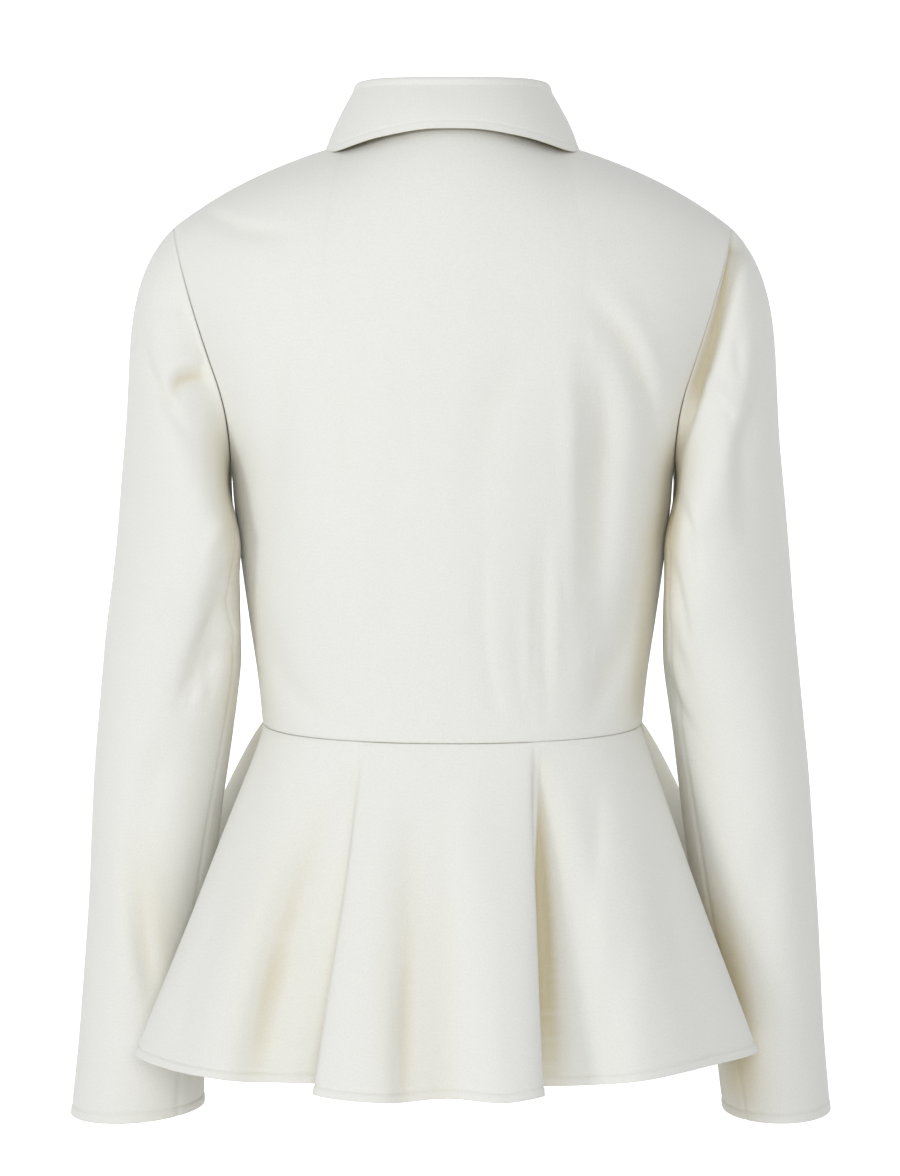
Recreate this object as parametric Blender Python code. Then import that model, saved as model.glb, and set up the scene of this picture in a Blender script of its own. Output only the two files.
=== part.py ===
"""Shirt with a flared peplum, a turned-down collar and long set-in sleeves, filled out as if worn, with nothing inside.

Metres, +Z up. The wearer would face -Y, and the wearer's left is +X. The origin lies midway between the two points
where the shoulder seams meet the collar, which is where the shoulders would carry the shirt.
"""

import math

import bmesh
import bpy
import numpy as np

for old in list(bpy.data.objects):
    bpy.data.objects.remove(old)


def table(columns, *rows):
    """A table as a dictionary of its named columns."""
    return dict(zip(columns.split(), np.array(rows, float).T))


# Cloth and sewing
CLOTH = 0.0015
COLLAR_CLOTH = 0.0016
SEAM_GAP = 0.0003
OVERLAP = 0.0125  # each front passes the centre line by this much
OVERLAP_LIFT = 0.0030  # the right front lies this far out, over the left one
LIFT_FROM, LIFT_TO = 0.050, 0.018  # the lift grows between these distances from the centre line

# Bodice heights
WAIST = -0.3915
ARMPIT = -0.215
CHEST = -0.150
SIDE_Y = -0.003
SQUARENESS = 0.12  # how much the sections fill out towards the corners of their box
CHEST_ANGLE_BACK = math.radians(63.0)
CHEST_ANGLE_FRONT = math.radians(58.0)

# Neck and shoulders
NECK_HALF_WIDTH = 0.0725
NECK_BACK, NECK_FRONT = 0.058, -0.070
SHOULDER_X = 0.1885
NECK_POINT_HEIGHT = 0.0045
SHOULDER_FALLS = (-0.0348, -0.0100, -0.0117)  # the shoulder line falls by these times t, t squared and t cubed
# Inside the neck the shoulder line would run on: these rise with the square of the way in, and with its square
NECK_RISE = 0.0109
NECK_HILL_BACK, NECK_HILL_FRONT = 0.0206, -0.0514
NECK_SHARE = 0.39  # the share of a panel's columns that end at the neckline
# How squarely the back and the chest turn over the shoulders: leaving upwards, and arriving over the top
FULLNESS_BACK, FULLNESS_FRONT = (2.0, 2.3), (1.3, 1.4)

TORSO = table(
    "height   half_width  back    front",
    (-0.400, 0.1298, 0.0940, -0.1040),
    (-0.360, 0.1335, 0.0975, -0.1120),
    (-0.320, 0.1392, 0.1030, -0.1225),
    (-0.280, 0.1446, 0.1085, -0.1320),
    (-0.240, 0.1492, 0.1125, -0.1370),
    (-0.215, 0.1515, 0.1142, -0.1372),
    (-0.185, 0.1612, 0.1148, -0.1335),
    (-0.150, 0.1745, 0.1135, -0.1260),
)

# Collar, by the angle round the neck from the middle of the back
COLLAR = table(
    "angle  fold_height  edge_x   edge_y   edge_height",
    (0, 0.0458, 0.0000, 0.0740, 0.0165),
    (30, 0.0455, 0.0475, 0.0645, 0.0140),
    (60, 0.0438, 0.0785, 0.0385, 0.0050),
    (90, 0.0385, 0.0862, 0.0000, 0.0022),
    (120, 0.0200, 0.0850, -0.0400, -0.0085),
    (150, -0.0105, 0.0690, -0.0850, -0.0500),
    (180, -0.0360, 0.0440, -0.1180, -0.0930),
    (210, -0.0105, 0.0100, -0.1180, -0.0930),
)
FOLD_HALF_WIDTH = 0.0622
FOLD_BACK, FOLD_FRONT = 0.0525, -0.0650
FALL_END = 173.0
# The turned roll at the top of the collar: outward and up from the stand's top edge, for both faces of the cloth
ROLL = table(
    "outer_out outer_up inner_out inner_up",
    (-0.0016, 0.0003, 0.0000, 0.0003),
    (-0.0013, 0.0022, 0.0003, 0.0012),
    (0.0004, 0.0036, 0.0011, 0.0019),
    (0.0026, 0.0037, 0.0021, 0.0019),
    (0.0044, 0.0020, 0.0029, 0.0009),
    (0.0053, -0.0014, 0.0037, -0.0018),
)

# Sleeves, by height: where the outer and inner sides lie, how far forward the middle is, half the depth from
# front to back, how much higher the outer side and lower the back of each ring hangs, and how far behind the
# ring's middle its inner side lies
SLEEVE_LEFT = table(
    "height   outer   inner   middle_y  half_depth  outer_rise  back_drop  inner_back",
    (-0.236, 0.2240, 0.1430, -0.0040, 0.0590, 0.0340, 0.0000, 0.040),
    (-0.290, 0.2305, 0.1440, -0.0060, 0.0580, 0.0180, 0.0000, 0.032),
    (-0.345, 0.2395, 0.1450, -0.0090, 0.0570, 0.0060, 0.0000, 0.012),
    (-0.400, 0.2455, 0.1515, -0.0140, 0.0555, 0.0000, 0.0000, 0.000),
    (-0.465, 0.2500, 0.1610, -0.0200, 0.0525, -0.0010, 0.0000, 0.000),
    (-0.530, 0.2540, 0.1675, -0.0245, 0.0500, -0.0020, 0.0005, 0.000),
    (-0.600, 0.2600, 0.1720, -0.0270, 0.0480, -0.0035, 0.0010, 0.000),
    (-0.668, 0.2670, 0.1745, -0.0280, 0.0470, -0.0035, 0.0010, 0.000),
)
SLEEVE_RIGHT = table(
    "height   outer   inner   middle_y  half_depth  outer_rise  back_drop  inner_back",
    (-0.236, 0.2240, 0.1430, -0.0040, 0.0590, 0.0340, 0.0000, 0.040),
    (-0.290, 0.2308, 0.1430, -0.0060, 0.0580, 0.0180, 0.0000, 0.032),
    (-0.345, 0.2375, 0.1445, -0.0090, 0.0570, 0.0060, 0.0000, 0.012),
    (-0.400, 0.2435, 0.1520, -0.0140, 0.0555, 0.0000, 0.0000, 0.000),
    (-0.465, 0.2498, 0.1600, -0.0200, 0.0530, 0.0000, 0.0000, 0.000),
    (-0.530, 0.2545, 0.1690, -0.0250, 0.0515, 0.0000, 0.0000, 0.000),
    (-0.600, 0.2590, 0.1810, -0.0290, 0.0510, 0.0000, 0.0000, 0.000),
    (-0.669, 0.2650, 0.1900, -0.0310, 0.0510, 0.0000, 0.0000, 0.000),
)
CAP_FLARE = table("share flare", (0, 0.80), (0.25, 0.40), (0.5, 0.30), (0.75, 0.40), (1, 0.80))
CAP_FALL = 1.1  # how far the cap runs on downwards before it turns to the armhole, in lengths of its chord
BODY_CLEARANCE = 0.0020  # the sleeve stays this far from the side of the body below the armpit
BODY_ROUNDING = 0.0020  # how gently it turns aside there

# Peplum folds, from the wearer's left to right across the back: the angle round the waist from the middle of the
# back, the place of the fold at the hem, and how soon it springs out below the waist (1 is straight)
PEPLUM_BACK = table(
    "waist_angle  hem_x    hem_y    hem_z    spring",
    (90.0, 0.1610, -0.0060, -0.6130, 1.00),
    (83.0, 0.1800, 0.0230, -0.6130, 1.00),
    (77.0, 0.2155, 0.0490, -0.6120, 1.00),
    (66.0, 0.1880, 0.1060, -0.6110, 1.00),
    (51.0, 0.1500, 0.1340, -0.6110, 1.00),
    (36.0, 0.1080, 0.1300, -0.6140, 1.00),
    (27.0, 0.0860, 0.1260, -0.6160, 1.00),
    (22.5, 0.0912, 0.1590, -0.6150, 1.00),
    (12.0, 0.0450, 0.1760, -0.6165, 1.00),
    (1.0, 0.0040, 0.1640, -0.6165, 1.00),
    (-10.0, -0.0340, 0.1740, -0.6170, 1.00),
    (-19.5, -0.0596, 0.1570, -0.6165, 1.00),
    (-23.5, -0.0500, 0.1130, -0.6210, 1.00),
    (-31.0, -0.0830, 0.1210, -0.6180, 1.00),
    (-46.0, -0.1239, 0.1300, -0.6130, 1.00),
    (-61.0, -0.1680, 0.1010, -0.6105, 1.00),
    (-77.0, -0.2075, 0.0480, -0.6110, 1.00),
    (-83.0, -0.1810, 0.0180, -0.6130, 1.00),
    (-90.0, -0.1640, -0.0090, -0.6130, 1.00),
)
# The same for the left front, from its side seam to the centre; the right front mirrors it
PEPLUM_FRONT = table(
    "waist_angle  hem_x    hem_y    hem_z    spring",
    (90.0, 0.1610, -0.0060, -0.6130, 1.00),
    (96.0, 0.1590, -0.0420, -0.6130, 0.92),
    (101.0, 0.1830, -0.0880, -0.6110, 0.82),
    (106.0, 0.2200, -0.1260, -0.6090, 0.78),
    (118.0, 0.1750, -0.1560, -0.6110, 0.90),
    (132.0, 0.1200, -0.1500, -0.6130, 1.00),
    (147.0, 0.0800, -0.1880, -0.6110, 1.00),
    (163.0, 0.0350, -0.1720, -0.6130, 1.00),
    (180.0, 0.0000, -0.1740, -0.6130, 1.00),
)
SIDE_HEM_RIGHT_X, SIDE_HEM_RIGHT_Y = -0.1640, -0.0090
FOLD_SPACING = 0.7  # how much wide falls gain on narrow ones when the columns are shared out

# Buttons
BUTTON_RADIUS = 0.0055
BUTTON_THICKNESS = 0.0022
BUTTON_BEVEL = 0.0004
BUTTON_STAND_OFF = 0.0005  # the length of thread between a button and the cloth
BUTTON_SIDES = 16
BODICE_BUTTONS = (-0.105, -0.168, -0.231, -0.294, -0.357)
PEPLUM_BUTTONS = (-0.430, -0.500)
COLLAR_BUTTON_SHARE = 0.5  # its place up the collar stand

# How finely each piece is divided
SIDE_ROWS, LOWER_ARMHOLE_ROWS, UPPER_ARMHOLE_ROWS = 6, 5, 7
NECK_COLUMNS, SHOULDER_COLUMNS = 8, 6
ARMHOLE_POINTS = 2 * (LOWER_ARMHOLE_ROWS + UPPER_ARMHOLE_ROWS)
CAP_ROWS, SLEEVE_ROWS = 6, 16
PEPLUM_BACK_COLUMNS, PEPLUM_FRONT_COLUMNS, PEPLUM_ROWS = 60, 30, 4
FALL_ROWS = 3

HALVINGS = 36
SEARCH_ROWS, SEARCH_COLUMNS = 400, 81  # how closely the centre line is looked through for the buttons' places
STEP = 1e-4  # for slopes

PAST_CENTRE = math.asin(OVERLAP / NECK_HALF_WIDTH)  # how far round the neck the fronts pass the centre line
IVORY = (0.83, 0.82, 0.74)
CLOTH_ROUGHNESS, BUTTON_ROUGHNESS = 0.85, 0.35
SHARP_EDGE = math.radians(40)
UPWARD, DOWNWARD = np.array([0.0, 0.0, 1.0]), np.array([0.0, 0.0, -1.0])
BACKWARD, FORWARD = np.array([0.0, 1.0, 0.0]), np.array([0.0, -1.0, 0.0])
ALL = slice(None)


def material(name, roughness):
    made = bpy.data.materials.new(name)
    made.use_nodes = True
    shader = made.node_tree.nodes["Principled BSDF"]
    shader.inputs["Base Color"].default_value = (*IVORY, 1.0)
    shader.inputs["Roughness"].default_value = roughness
    shader.inputs["Metallic"].default_value = 0.0
    return made


def smooth(knots, values, at):
    """A cubic through the rows of a table, whose slope at each row comes from the rows beside it."""
    slopes = np.gradient(values, knots, axis=0)
    at = np.asarray(at, float)
    i = np.clip(np.searchsorted(knots, at) - 1, 0, len(knots) - 2)
    span = knots[i + 1] - knots[i]
    t = (at - knots[i]) / span
    return (
        values[i] * (1 + 2 * t) * (1 - t) ** 2
        + values[i + 1] * t * t * (3 - 2 * t)
        + slopes[i] * span * t * (1 - t) ** 2
        - slopes[i + 1] * span * t * t * (1 - t)
    )


def hermite(start, end, leaving, arriving, t):
    """A curve from start to end that leaves and arrives with the given tangents."""
    t = t[..., None]
    return (
        start * (1 + 2 * t) * (1 - t) ** 2
        + end * t * t * (3 - 2 * t)
        + leaving * t * (1 - t) ** 2
        - arriving * t * t * (1 - t)
    )


def ease(t):
    t = np.clip(t, 0.0, 1.0)
    return t * t * (3 - 2 * t)


def unit(vectors):
    return vectors / np.linalg.norm(vectors, axis=-1, keepdims=True)


def lifted(points, x):
    """Points moved out near the centre line, by their own or another x, so that the right lies over the left."""
    lift = OVERLAP_LIFT * ease((LIFT_FROM + x) / (LIFT_FROM - LIFT_TO))
    return points - np.stack([0 * lift, lift, 0 * lift], -1)


def torso(angle, height, is_front):
    """The cloth's outer face: an ellipse with fuller corners at each height. The angle is from the panel's middle."""
    half_width = smooth(TORSO["height"], TORSO["half_width"], height)
    reach = smooth(TORSO["height"], TORSO["front" if is_front else "back"], height)
    x = half_width * np.sin(angle) * (1 + SQUARENESS * np.cos(angle) ** 2)
    y = SIDE_Y + (reach - SIDE_Y) * np.cos(angle)
    return np.stack([x, y, height + 0 * x], -1)


def shoulder_line(u, is_front):
    """Where each column would end on the shoulder line, which runs on inside the neck."""
    first = -OVERLAP if is_front else 0.0
    x = first + (NECK_HALF_WIDTH - first) * np.clip(u / NECK_SHARE, None, 1.0)
    t = np.clip((u - NECK_SHARE) / (1 - NECK_SHARE), 0.0, None)
    inside = np.clip(1 - (x / NECK_HALF_WIDTH) ** 2, 0.0, None)
    height = NECK_POINT_HEIGHT + NECK_RISE * inside + (NECK_HILL_FRONT if is_front else NECK_HILL_BACK) * inside**2
    for power, fall in enumerate(SHOULDER_FALLS, 1):
        height = height + fall * t**power
    x = x + (SHOULDER_X - NECK_HALF_WIDTH) * t
    return np.stack([x, 0 * t, height], -1)


def panel_angle(u, edge_angle, height, is_front):
    """The angle of a panel's column: from its middle, or from past the centre line on a front, to its edge."""
    first = 0.0
    if is_front:
        half_width = smooth(TORSO["height"], TORSO["half_width"], height)
        first = -np.arcsin(OVERLAP / (half_width * (1 + SQUARENESS)))
    return first + (edge_angle - first) * u


def bodice(u, v, is_front):
    """Half a bodice: u from the middle or front edge to the side, v 0 at the waist, 1 armpit, 2 chest, 3 top."""
    chest_angle = CHEST_ANGLE_FRONT if is_front else CHEST_ANGLE_BACK
    below = np.minimum(v, 1.0)
    turn = np.clip(v - 1, 0.0, 1.0) * math.pi / 2
    side_height = WAIST + (ARMPIT - WAIST) * below
    edge_height = side_height + (CHEST - ARMPIT) * (1 - np.cos(turn))
    middle_height = side_height + (CHEST - ARMPIT) * turn / (math.pi / 2)
    edge_angle = math.pi / 2 - (math.pi / 2 - chest_angle) * np.sin(turn)
    height = middle_height + (edge_height - middle_height) * u**4
    low = torso(panel_angle(u, edge_angle, height, is_front), height, is_front)

    chest_height = CHEST + 0 * u
    angle = panel_angle(u, chest_angle, chest_height, is_front)
    start = torso(angle, chest_height, is_front)
    end = shoulder_line(u, is_front)
    rise = (start - torso(angle, chest_height - STEP, is_front)) / STEP
    fullness_up, fullness_over = FULLNESS_FRONT if is_front else FULLNESS_BACK
    leaving = rise * (fullness_up * (end[..., 2] - start[..., 2]))[..., None]
    facing = 1.0 if is_front else -1.0
    arriving = np.stack([0 * u, facing * fullness_over * np.abs(start[..., 1]), 0 * u], -1)
    last = neck_share_of_column(u, start, end, leaving, arriving, is_front)
    high = hermite(start, end, leaving, arriving, np.clip(v - 2, 0.0, None) * last)
    return np.where((v > 2)[..., None], high, low)


def neck_share_of_column(u, start, end, leaving, arriving, is_front):
    """How far up its curve a column reaches before it meets the oval of the neck, found by halving."""
    depth = NECK_FRONT if is_front else NECK_BACK
    low, high = 0 * u, 0 * u + 1
    for _ in range(HALVINGS):
        middle = (low + high) / 2
        point = hermite(start, end, leaving, arriving, middle)
        is_outside = (point[..., 0] / NECK_HALF_WIDTH) ** 2 + (point[..., 1] / depth) ** 2 > 1
        low, high = np.where(is_outside, middle, low), np.where(is_outside, high, middle)
    return np.where(u < NECK_SHARE, low, 1.0)


def neck_column(turn, is_front):
    """The column of a panel that ends at an angle round the neck, measured from the panel's middle."""
    first = -OVERLAP if is_front else 0.0
    return NECK_SHARE * (NECK_HALF_WIDTH * np.sin(turn) - first) / (NECK_HALF_WIDTH - first)


def neckline(angle):
    """The seam under the collar, by the angle round the neck from the middle of the back."""
    turn = np.abs(angle)
    top = 3 + 0 * angle
    at_back = bodice(neck_column(turn, False), top, False)
    at_front = bodice(neck_column(turn, True), top, True)
    half = np.where((turn <= math.pi / 2)[..., None], at_back, at_front)
    return half * np.stack([np.sign(angle), 1 + 0 * angle, 1 + 0 * angle], -1)


def mirror(points, side):
    return points * np.array([side, 1.0, 1.0])


def back_surface(u, v):
    half = bodice(np.abs(u), v, False)
    return half * np.stack([np.sign(u), 1 + 0 * u, 1 + 0 * u], -1)


def front_surface(side):
    def surface(u, v):
        points = mirror(bodice(u, v, True), side)
        return points if side > 0 else lifted(points, points[..., 0])

    return surface


def armhole_row(share):
    """The bodice row beside a point of the armhole, whose share runs from the shoulder round to the armpit."""
    upper = UPPER_ARMHOLE_ROWS / (UPPER_ARMHOLE_ROWS + LOWER_ARMHOLE_ROWS)
    return np.where(share < upper, 3 - share / upper, 2 - (share - upper) / (1 - upper))


def armhole(share):
    """The armhole of the left side: 0 at the shoulder, round the back to 0.5 at the armpit, and up the front to 1."""
    at_back = bodice(1 + 0 * share, armhole_row(np.clip(2 * share, 0, 1)), False)
    at_front = bodice(1 + 0 * share, armhole_row(np.clip(2 - 2 * share, 0, 1)), True)
    return np.where((share <= 0.5)[..., None], at_back, at_front)


def sleeve_ring(rows, share, level):
    """A ring of the sleeve below its cap, at a row number of its table."""
    numbers = np.arange(len(rows["height"]), dtype=float)
    at = {name: smooth(numbers, column, level) for name, column in rows.items()}
    turn = 2 * math.pi * share
    middle_x = (at["outer"] + at["inner"]) / 2
    half_width = (at["outer"] - at["inner"]) / 2
    return np.stack(
        [
            middle_x + half_width * np.cos(turn),
            at["middle_y"] + at["half_depth"] * np.sin(turn) + at["inner_back"] * (1 - np.cos(turn)) / 2,
            at["height"] + at["outer_rise"] * np.cos(turn) - at["back_drop"] * np.sin(turn),
        ],
        -1,
    )


def beside_body(points, v):
    """The left sleeve's points below the armpit, turned aside where they would touch the side of the body."""
    x, y, height = points[..., 0], points[..., 1], np.clip(points[..., 2], WAIST, ARMPIT)
    reach = np.where(
        y > SIDE_Y, smooth(TORSO["height"], TORSO["back"], height), smooth(TORSO["height"], TORSO["front"], height)
    )
    cosine = np.clip((y - SIDE_Y) / (reach - SIDE_Y), 0.0, 1.0)
    half_width = smooth(TORSO["height"], TORSO["half_width"], height)
    body = half_width * np.sqrt(1 - cosine**2) * (1 + SQUARENESS * cosine**2)
    limit = body + BODY_CLEARANCE * ease(v / 0.4)
    room = x - limit
    turned = limit + (room + np.sqrt(room**2 + BODY_ROUNDING**2)) / 2
    share = ease((ARMPIT + 0.005 - points[..., 2]) / 0.020) * ease(v / 0.2)
    return np.concatenate([(x + (turned - x) * share)[..., None], points[..., 1:]], -1)


def sleeve_surface(rows, side):
    """The sleeve: its cap from the armhole to the first ring (v 0 to 1), then down the rings of its table."""

    def surface(u, v):
        start = armhole(np.mod(u, 1.0))
        end = sleeve_ring(rows, u, 0 * u)
        down = unit(sleeve_ring(rows, u, 0 * u + STEP) - end)
        chord = end - start
        length = np.linalg.norm(chord, axis=-1, keepdims=True)
        flare = smooth(CAP_FLARE["share"], CAP_FLARE["flare"], np.mod(u, 1.0))
        outward = flare[..., None] * np.array([1.0, 0.0, 0.0])
        leaving = length * unit(unit(chord) + outward)
        cap = hermite(start, end, leaving, CAP_FALL * length * down, np.clip(v, None, 1.0))
        tube = sleeve_ring(rows, u, np.clip(v - 1, 0.0, None))
        return mirror(beside_body(np.where((v < 1)[..., None], cap, tube), v), side)

    return surface


def peplum_surface(rows, side=1.0):
    """The peplum: straight falls from the waist seam to the hem, whose folds are the rows of the table."""
    hem = np.stack([rows["hem_x"], rows["hem_y"], rows["hem_z"]], -1)
    steps = np.linalg.norm(np.diff(hem, axis=0), axis=1) ** FOLD_SPACING
    knots = np.concatenate([[0.0], np.cumsum(steps)])
    knots /= knots[-1]

    def surface(u, v):
        angle = np.radians(smooth(knots, rows["waist_angle"], u))
        at_back = torso(angle, WAIST + 0 * u, False)
        at_front = torso(math.pi - angle, WAIST + 0 * u, True)
        waist = np.where((np.abs(angle) <= math.pi / 2)[..., None], at_back, at_front)
        end = np.stack([smooth(knots, hem[:, i], u) for i in range(3)], -1)
        spring = smooth(knots, rows["spring"], u)
        out = np.clip(v, 1e-9, None) ** spring
        share = np.stack([out, out, v + 0 * u], -1)
        points = mirror(waist + (end - waist) * share, side)
        return points if side > 0 else lifted(points, points[..., 0])

    return surface


def right_side_rows(rows):
    """The front peplum's table for the right side, whose side seam hangs at its own place."""
    own = {name: column.copy() for name, column in rows.items()}
    own["hem_x"][0] = -SIDE_HEM_RIGHT_X
    own["hem_y"][0] = SIDE_HEM_RIGHT_Y
    return own


def with_overlap(rows):
    """The front peplum's table with one more row, which carries its front edge past the centre line."""
    own = {name: np.append(column, column[-1]) for name, column in rows.items()}
    half_width = float(smooth(TORSO["height"], TORSO["half_width"], WAIST))
    own["waist_angle"][-1] += math.degrees(math.asin(OVERLAP / (half_width * (1 + SQUARENESS))))
    own["hem_x"][-1] = -OVERLAP
    return own


def fold_line(angle):
    """The top edge of the collar stand's outer face."""
    depth = np.where(np.cos(angle) > 0, FOLD_BACK, -FOLD_FRONT)
    height = smooth(COLLAR["angle"], COLLAR["fold_height"], np.degrees(np.abs(angle)))
    return np.stack([FOLD_HALF_WIDTH * np.sin(angle), depth * np.cos(angle), height], -1)


def stand_surface(angle, v):
    """The collar stand from the neckline (v 0) to the fold (v 1), by the angle round the neck."""
    low, high = neckline(angle), fold_line(angle)
    points = low + (high - low) * (v + 0 * angle)[..., None]
    return np.where((angle < -math.pi / 2)[..., None], lifted(points, low[..., 0]), points)


def grid_normals(surface, u, v, facing):
    """The surface's outward directions, from its slopes."""
    along = surface(u + STEP, v) - surface(u - STEP, v)
    down = surface(u, v + STEP) - surface(u, v - STEP)
    return facing * unit(np.cross(along, down))


def add_object(name, points, faces):
    mesh = bpy.data.meshes.new(name)
    mesh.from_pydata(points.tolist(), [], faces)
    mesh.materials.append(material(name, CLOTH_ROUGHNESS))
    mesh.update()
    mesh.shade_smooth()
    mesh.set_sharp_from_angle(angle=SHARP_EDGE)
    made = bpy.data.objects.new(name, mesh)
    bpy.context.scene.collection.objects.link(made)
    return made


def wall(name, outer, inner, is_ring=False):
    """A closed wall of cloth between two grids of points, rows by columns, with its open edges filled."""
    rows, columns = outer.shape[:2]
    number = np.arange(rows * columns).reshape(rows, columns)
    under = number + rows * columns
    if is_ring:
        number = np.concatenate([number, number[:, :1]], 1)
        under = np.concatenate([under, under[:, :1]], 1)

    def quads(a, b, c, d):
        return np.stack([a, b, c, d], -1).reshape(-1, 4)

    faces = [
        quads(number[:-1, :-1], number[:-1, 1:], number[1:, 1:], number[1:, :-1]),
        quads(under[:-1, :-1], under[1:, :-1], under[1:, 1:], under[:-1, 1:]),
        quads(number[0, 1:], number[0, :-1], under[0, :-1], under[0, 1:]),
        quads(number[-1, :-1], number[-1, 1:], under[-1, 1:], under[-1, :-1]),
    ]
    if not is_ring:
        faces.append(quads(number[:-1, 0], number[1:, 0], under[1:, 0], under[:-1, 0]))
        faces.append(quads(number[1:, -1], number[:-1, -1], under[:-1, -1], under[1:, -1]))
    points = np.concatenate([outer.reshape(-1, 3), inner.reshape(-1, 3)])
    return add_object(name, points, np.concatenate(faces).tolist())


def part_from(seam, points, offsets):
    """Draws an edge back from its seam by half the gap, and keeps its thickness on its own side of the seam."""
    crossing = np.minimum(0.0, (offsets * seam).sum(-1, keepdims=True))
    return points + seam * SEAM_GAP / 2, offsets - crossing * seam


def cloth_piece(name, surface, us, vs, facing, seams=(), is_ring=False, thickness=CLOTH):
    """Makes one piece from its surface. Each seam is a slice of the grid and the direction away from its neighbour."""
    u, v = np.meshgrid(us, vs)
    outer = surface(u, v)
    offsets = -thickness * grid_normals(surface, u, v, facing)
    for where, away in seams:
        outer[where], offsets[where] = part_from(away, outer[where], offsets[where])
    inner = outer + offsets
    if facing < 0:
        outer, inner = outer[:, ::-1], inner[:, ::-1]
    return wall(name, outer, inner, is_ring)


def seam_directions(surface, u, v, inwards, other, other_u, other_v, other_inwards):
    """For each point of a seam, the direction that leads from the neighbour's side to this piece's side."""
    own = unit(surface(u + inwards[0] * STEP, v + inwards[1] * STEP) - surface(u, v))
    theirs = unit(
        other(other_u + other_inwards[0] * STEP, other_v + other_inwards[1] * STEP) - other(other_u, other_v)
    )
    return unit(own - theirs)


def armhole_seam(side, rows, is_front, bodice_surface, bodice_u):
    """Directions away from the sleeve along a panel's armhole rows, and the same rows' places round the armhole."""
    sleeve = sleeve_surface(rows, side)
    shares = np.linspace(0, 0.5, ARMHOLE_POINTS // 2 + 1)[::-1]
    round_share = 1 - shares if is_front else shares
    v = armhole_row(2 * shares)
    return seam_directions(bodice_surface, bodice_u + 0 * v, v, (-bodice_u, 0), sleeve, round_share, 0 * v, (0, 1))


def bodice_rows():
    side = np.linspace(0, 1, SIDE_ROWS + 1)
    lower = np.linspace(1, 2, LOWER_ARMHOLE_ROWS + 1)[1:]
    upper = np.linspace(2, 3, UPPER_ARMHOLE_ROWS + 1)[1:]
    return np.concatenate([side, lower, upper])


def neck_angles():
    """The angles round half the neck, from the back to the front, that the panels and the collar share."""
    even = np.linspace(0, math.pi, 2 * NECK_COLUMNS + 1)
    return np.sort(np.append(even, math.radians(FALL_END)))


def half_columns(is_front):
    angles = neck_angles()
    first = PAST_CENTRE if is_front else 0.0
    turn = np.append(-first, math.pi - angles[::-1]) if is_front else angles
    turn = turn[turn < math.pi / 2 + STEP]
    shoulder = np.linspace(NECK_SHARE, 1, SHOULDER_COLUMNS + 1)[1:]
    return np.concatenate([neck_column(turn, is_front), shoulder])


def build_bodice():
    rows, half = bodice_rows(), half_columns(False)
    columns = np.concatenate([-half[:0:-1], half])
    middle = len(half) - 1
    neck = NECK_COLUMNS
    side, hole = slice(0, SIDE_ROWS + 1), slice(SIDE_ROWS, None)
    seams = [
        ((0, ALL), UPWARD),
        ((-1, slice(middle - neck, middle + neck + 1)), DOWNWARD),
        ((-1, slice(0, middle - neck + 1)), BACKWARD),
        ((-1, slice(middle + neck, None)), BACKWARD),
        ((side, 0), BACKWARD),
        ((side, -1), BACKWARD),
        ((hole, -1), armhole_seam(1.0, SLEEVE_LEFT, False, back_surface, 1.0)),
        ((hole, 0), armhole_seam(-1.0, SLEEVE_RIGHT, False, back_surface, -1.0)),
    ]
    cloth_piece("back", back_surface, columns, rows, -1.0, seams)
    half = half_columns(True)
    neck = len(half) - 1 - SHOULDER_COLUMNS
    for name, hand, sleeve_rows in (("front_left", 1.0, SLEEVE_LEFT), ("front_right", -1.0, SLEEVE_RIGHT)):
        surface = front_surface(hand)
        seams = [
            ((0, ALL), UPWARD),
            ((-1, slice(0, neck + 1)), DOWNWARD),
            ((-1, slice(neck, None)), FORWARD),
            ((side, -1), FORWARD),
            ((hole, -1), armhole_seam(hand, sleeve_rows, True, surface, 1.0)),
        ]
        cloth_piece(name, surface, half, rows, hand, seams)


def build_sleeve(name, rows, side):
    surface = sleeve_surface(rows, side)
    around = np.linspace(0, 1, ARMHOLE_POINTS + 1)[:-1]
    last = len(rows["height"])
    down = np.concatenate([np.linspace(0, 1, CAP_ROWS + 1), np.linspace(1, last, SLEEVE_ROWS + 1)[1:]])
    front = front_surface(side)
    v = armhole_row(np.where(around <= 0.5, 2 * around, 2 - 2 * around))
    at_back = seam_directions(
        surface, around, 0 * v, (0, 1), back_surface, side + 0 * v, v, (-side, 0)
    )
    at_front = seam_directions(surface, around, 0 * v, (0, 1), front, 1 + 0 * v, v, (-1, 0))
    away = np.where((around <= 0.5)[:, None], at_back, at_front)
    cloth_piece(name, surface, around, down, -side, [((0, ALL), away)], is_ring=True)


def build_peplum():
    down = np.linspace(0, 1, PEPLUM_ROWS + 1)
    surface = peplum_surface(PEPLUM_BACK)
    columns = np.linspace(0, 1, PEPLUM_BACK_COLUMNS + 1)
    seams = [((0, ALL), DOWNWARD), ((ALL, 0), BACKWARD), ((ALL, -1), BACKWARD)]
    cloth_piece("peplum_back", surface, columns, down, -1.0, seams)
    columns = np.linspace(0, 1, PEPLUM_FRONT_COLUMNS + 1)
    left = with_overlap(PEPLUM_FRONT)
    right = with_overlap(right_side_rows(PEPLUM_FRONT))
    for name, rows, side in (("peplum_front_left", left, 1.0), ("peplum_front_right", right, -1.0)):
        seams = [((0, ALL), DOWNWARD), ((ALL, 0), FORWARD)]
        cloth_piece(name, peplum_surface(rows, side), columns, down, side, seams)


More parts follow.
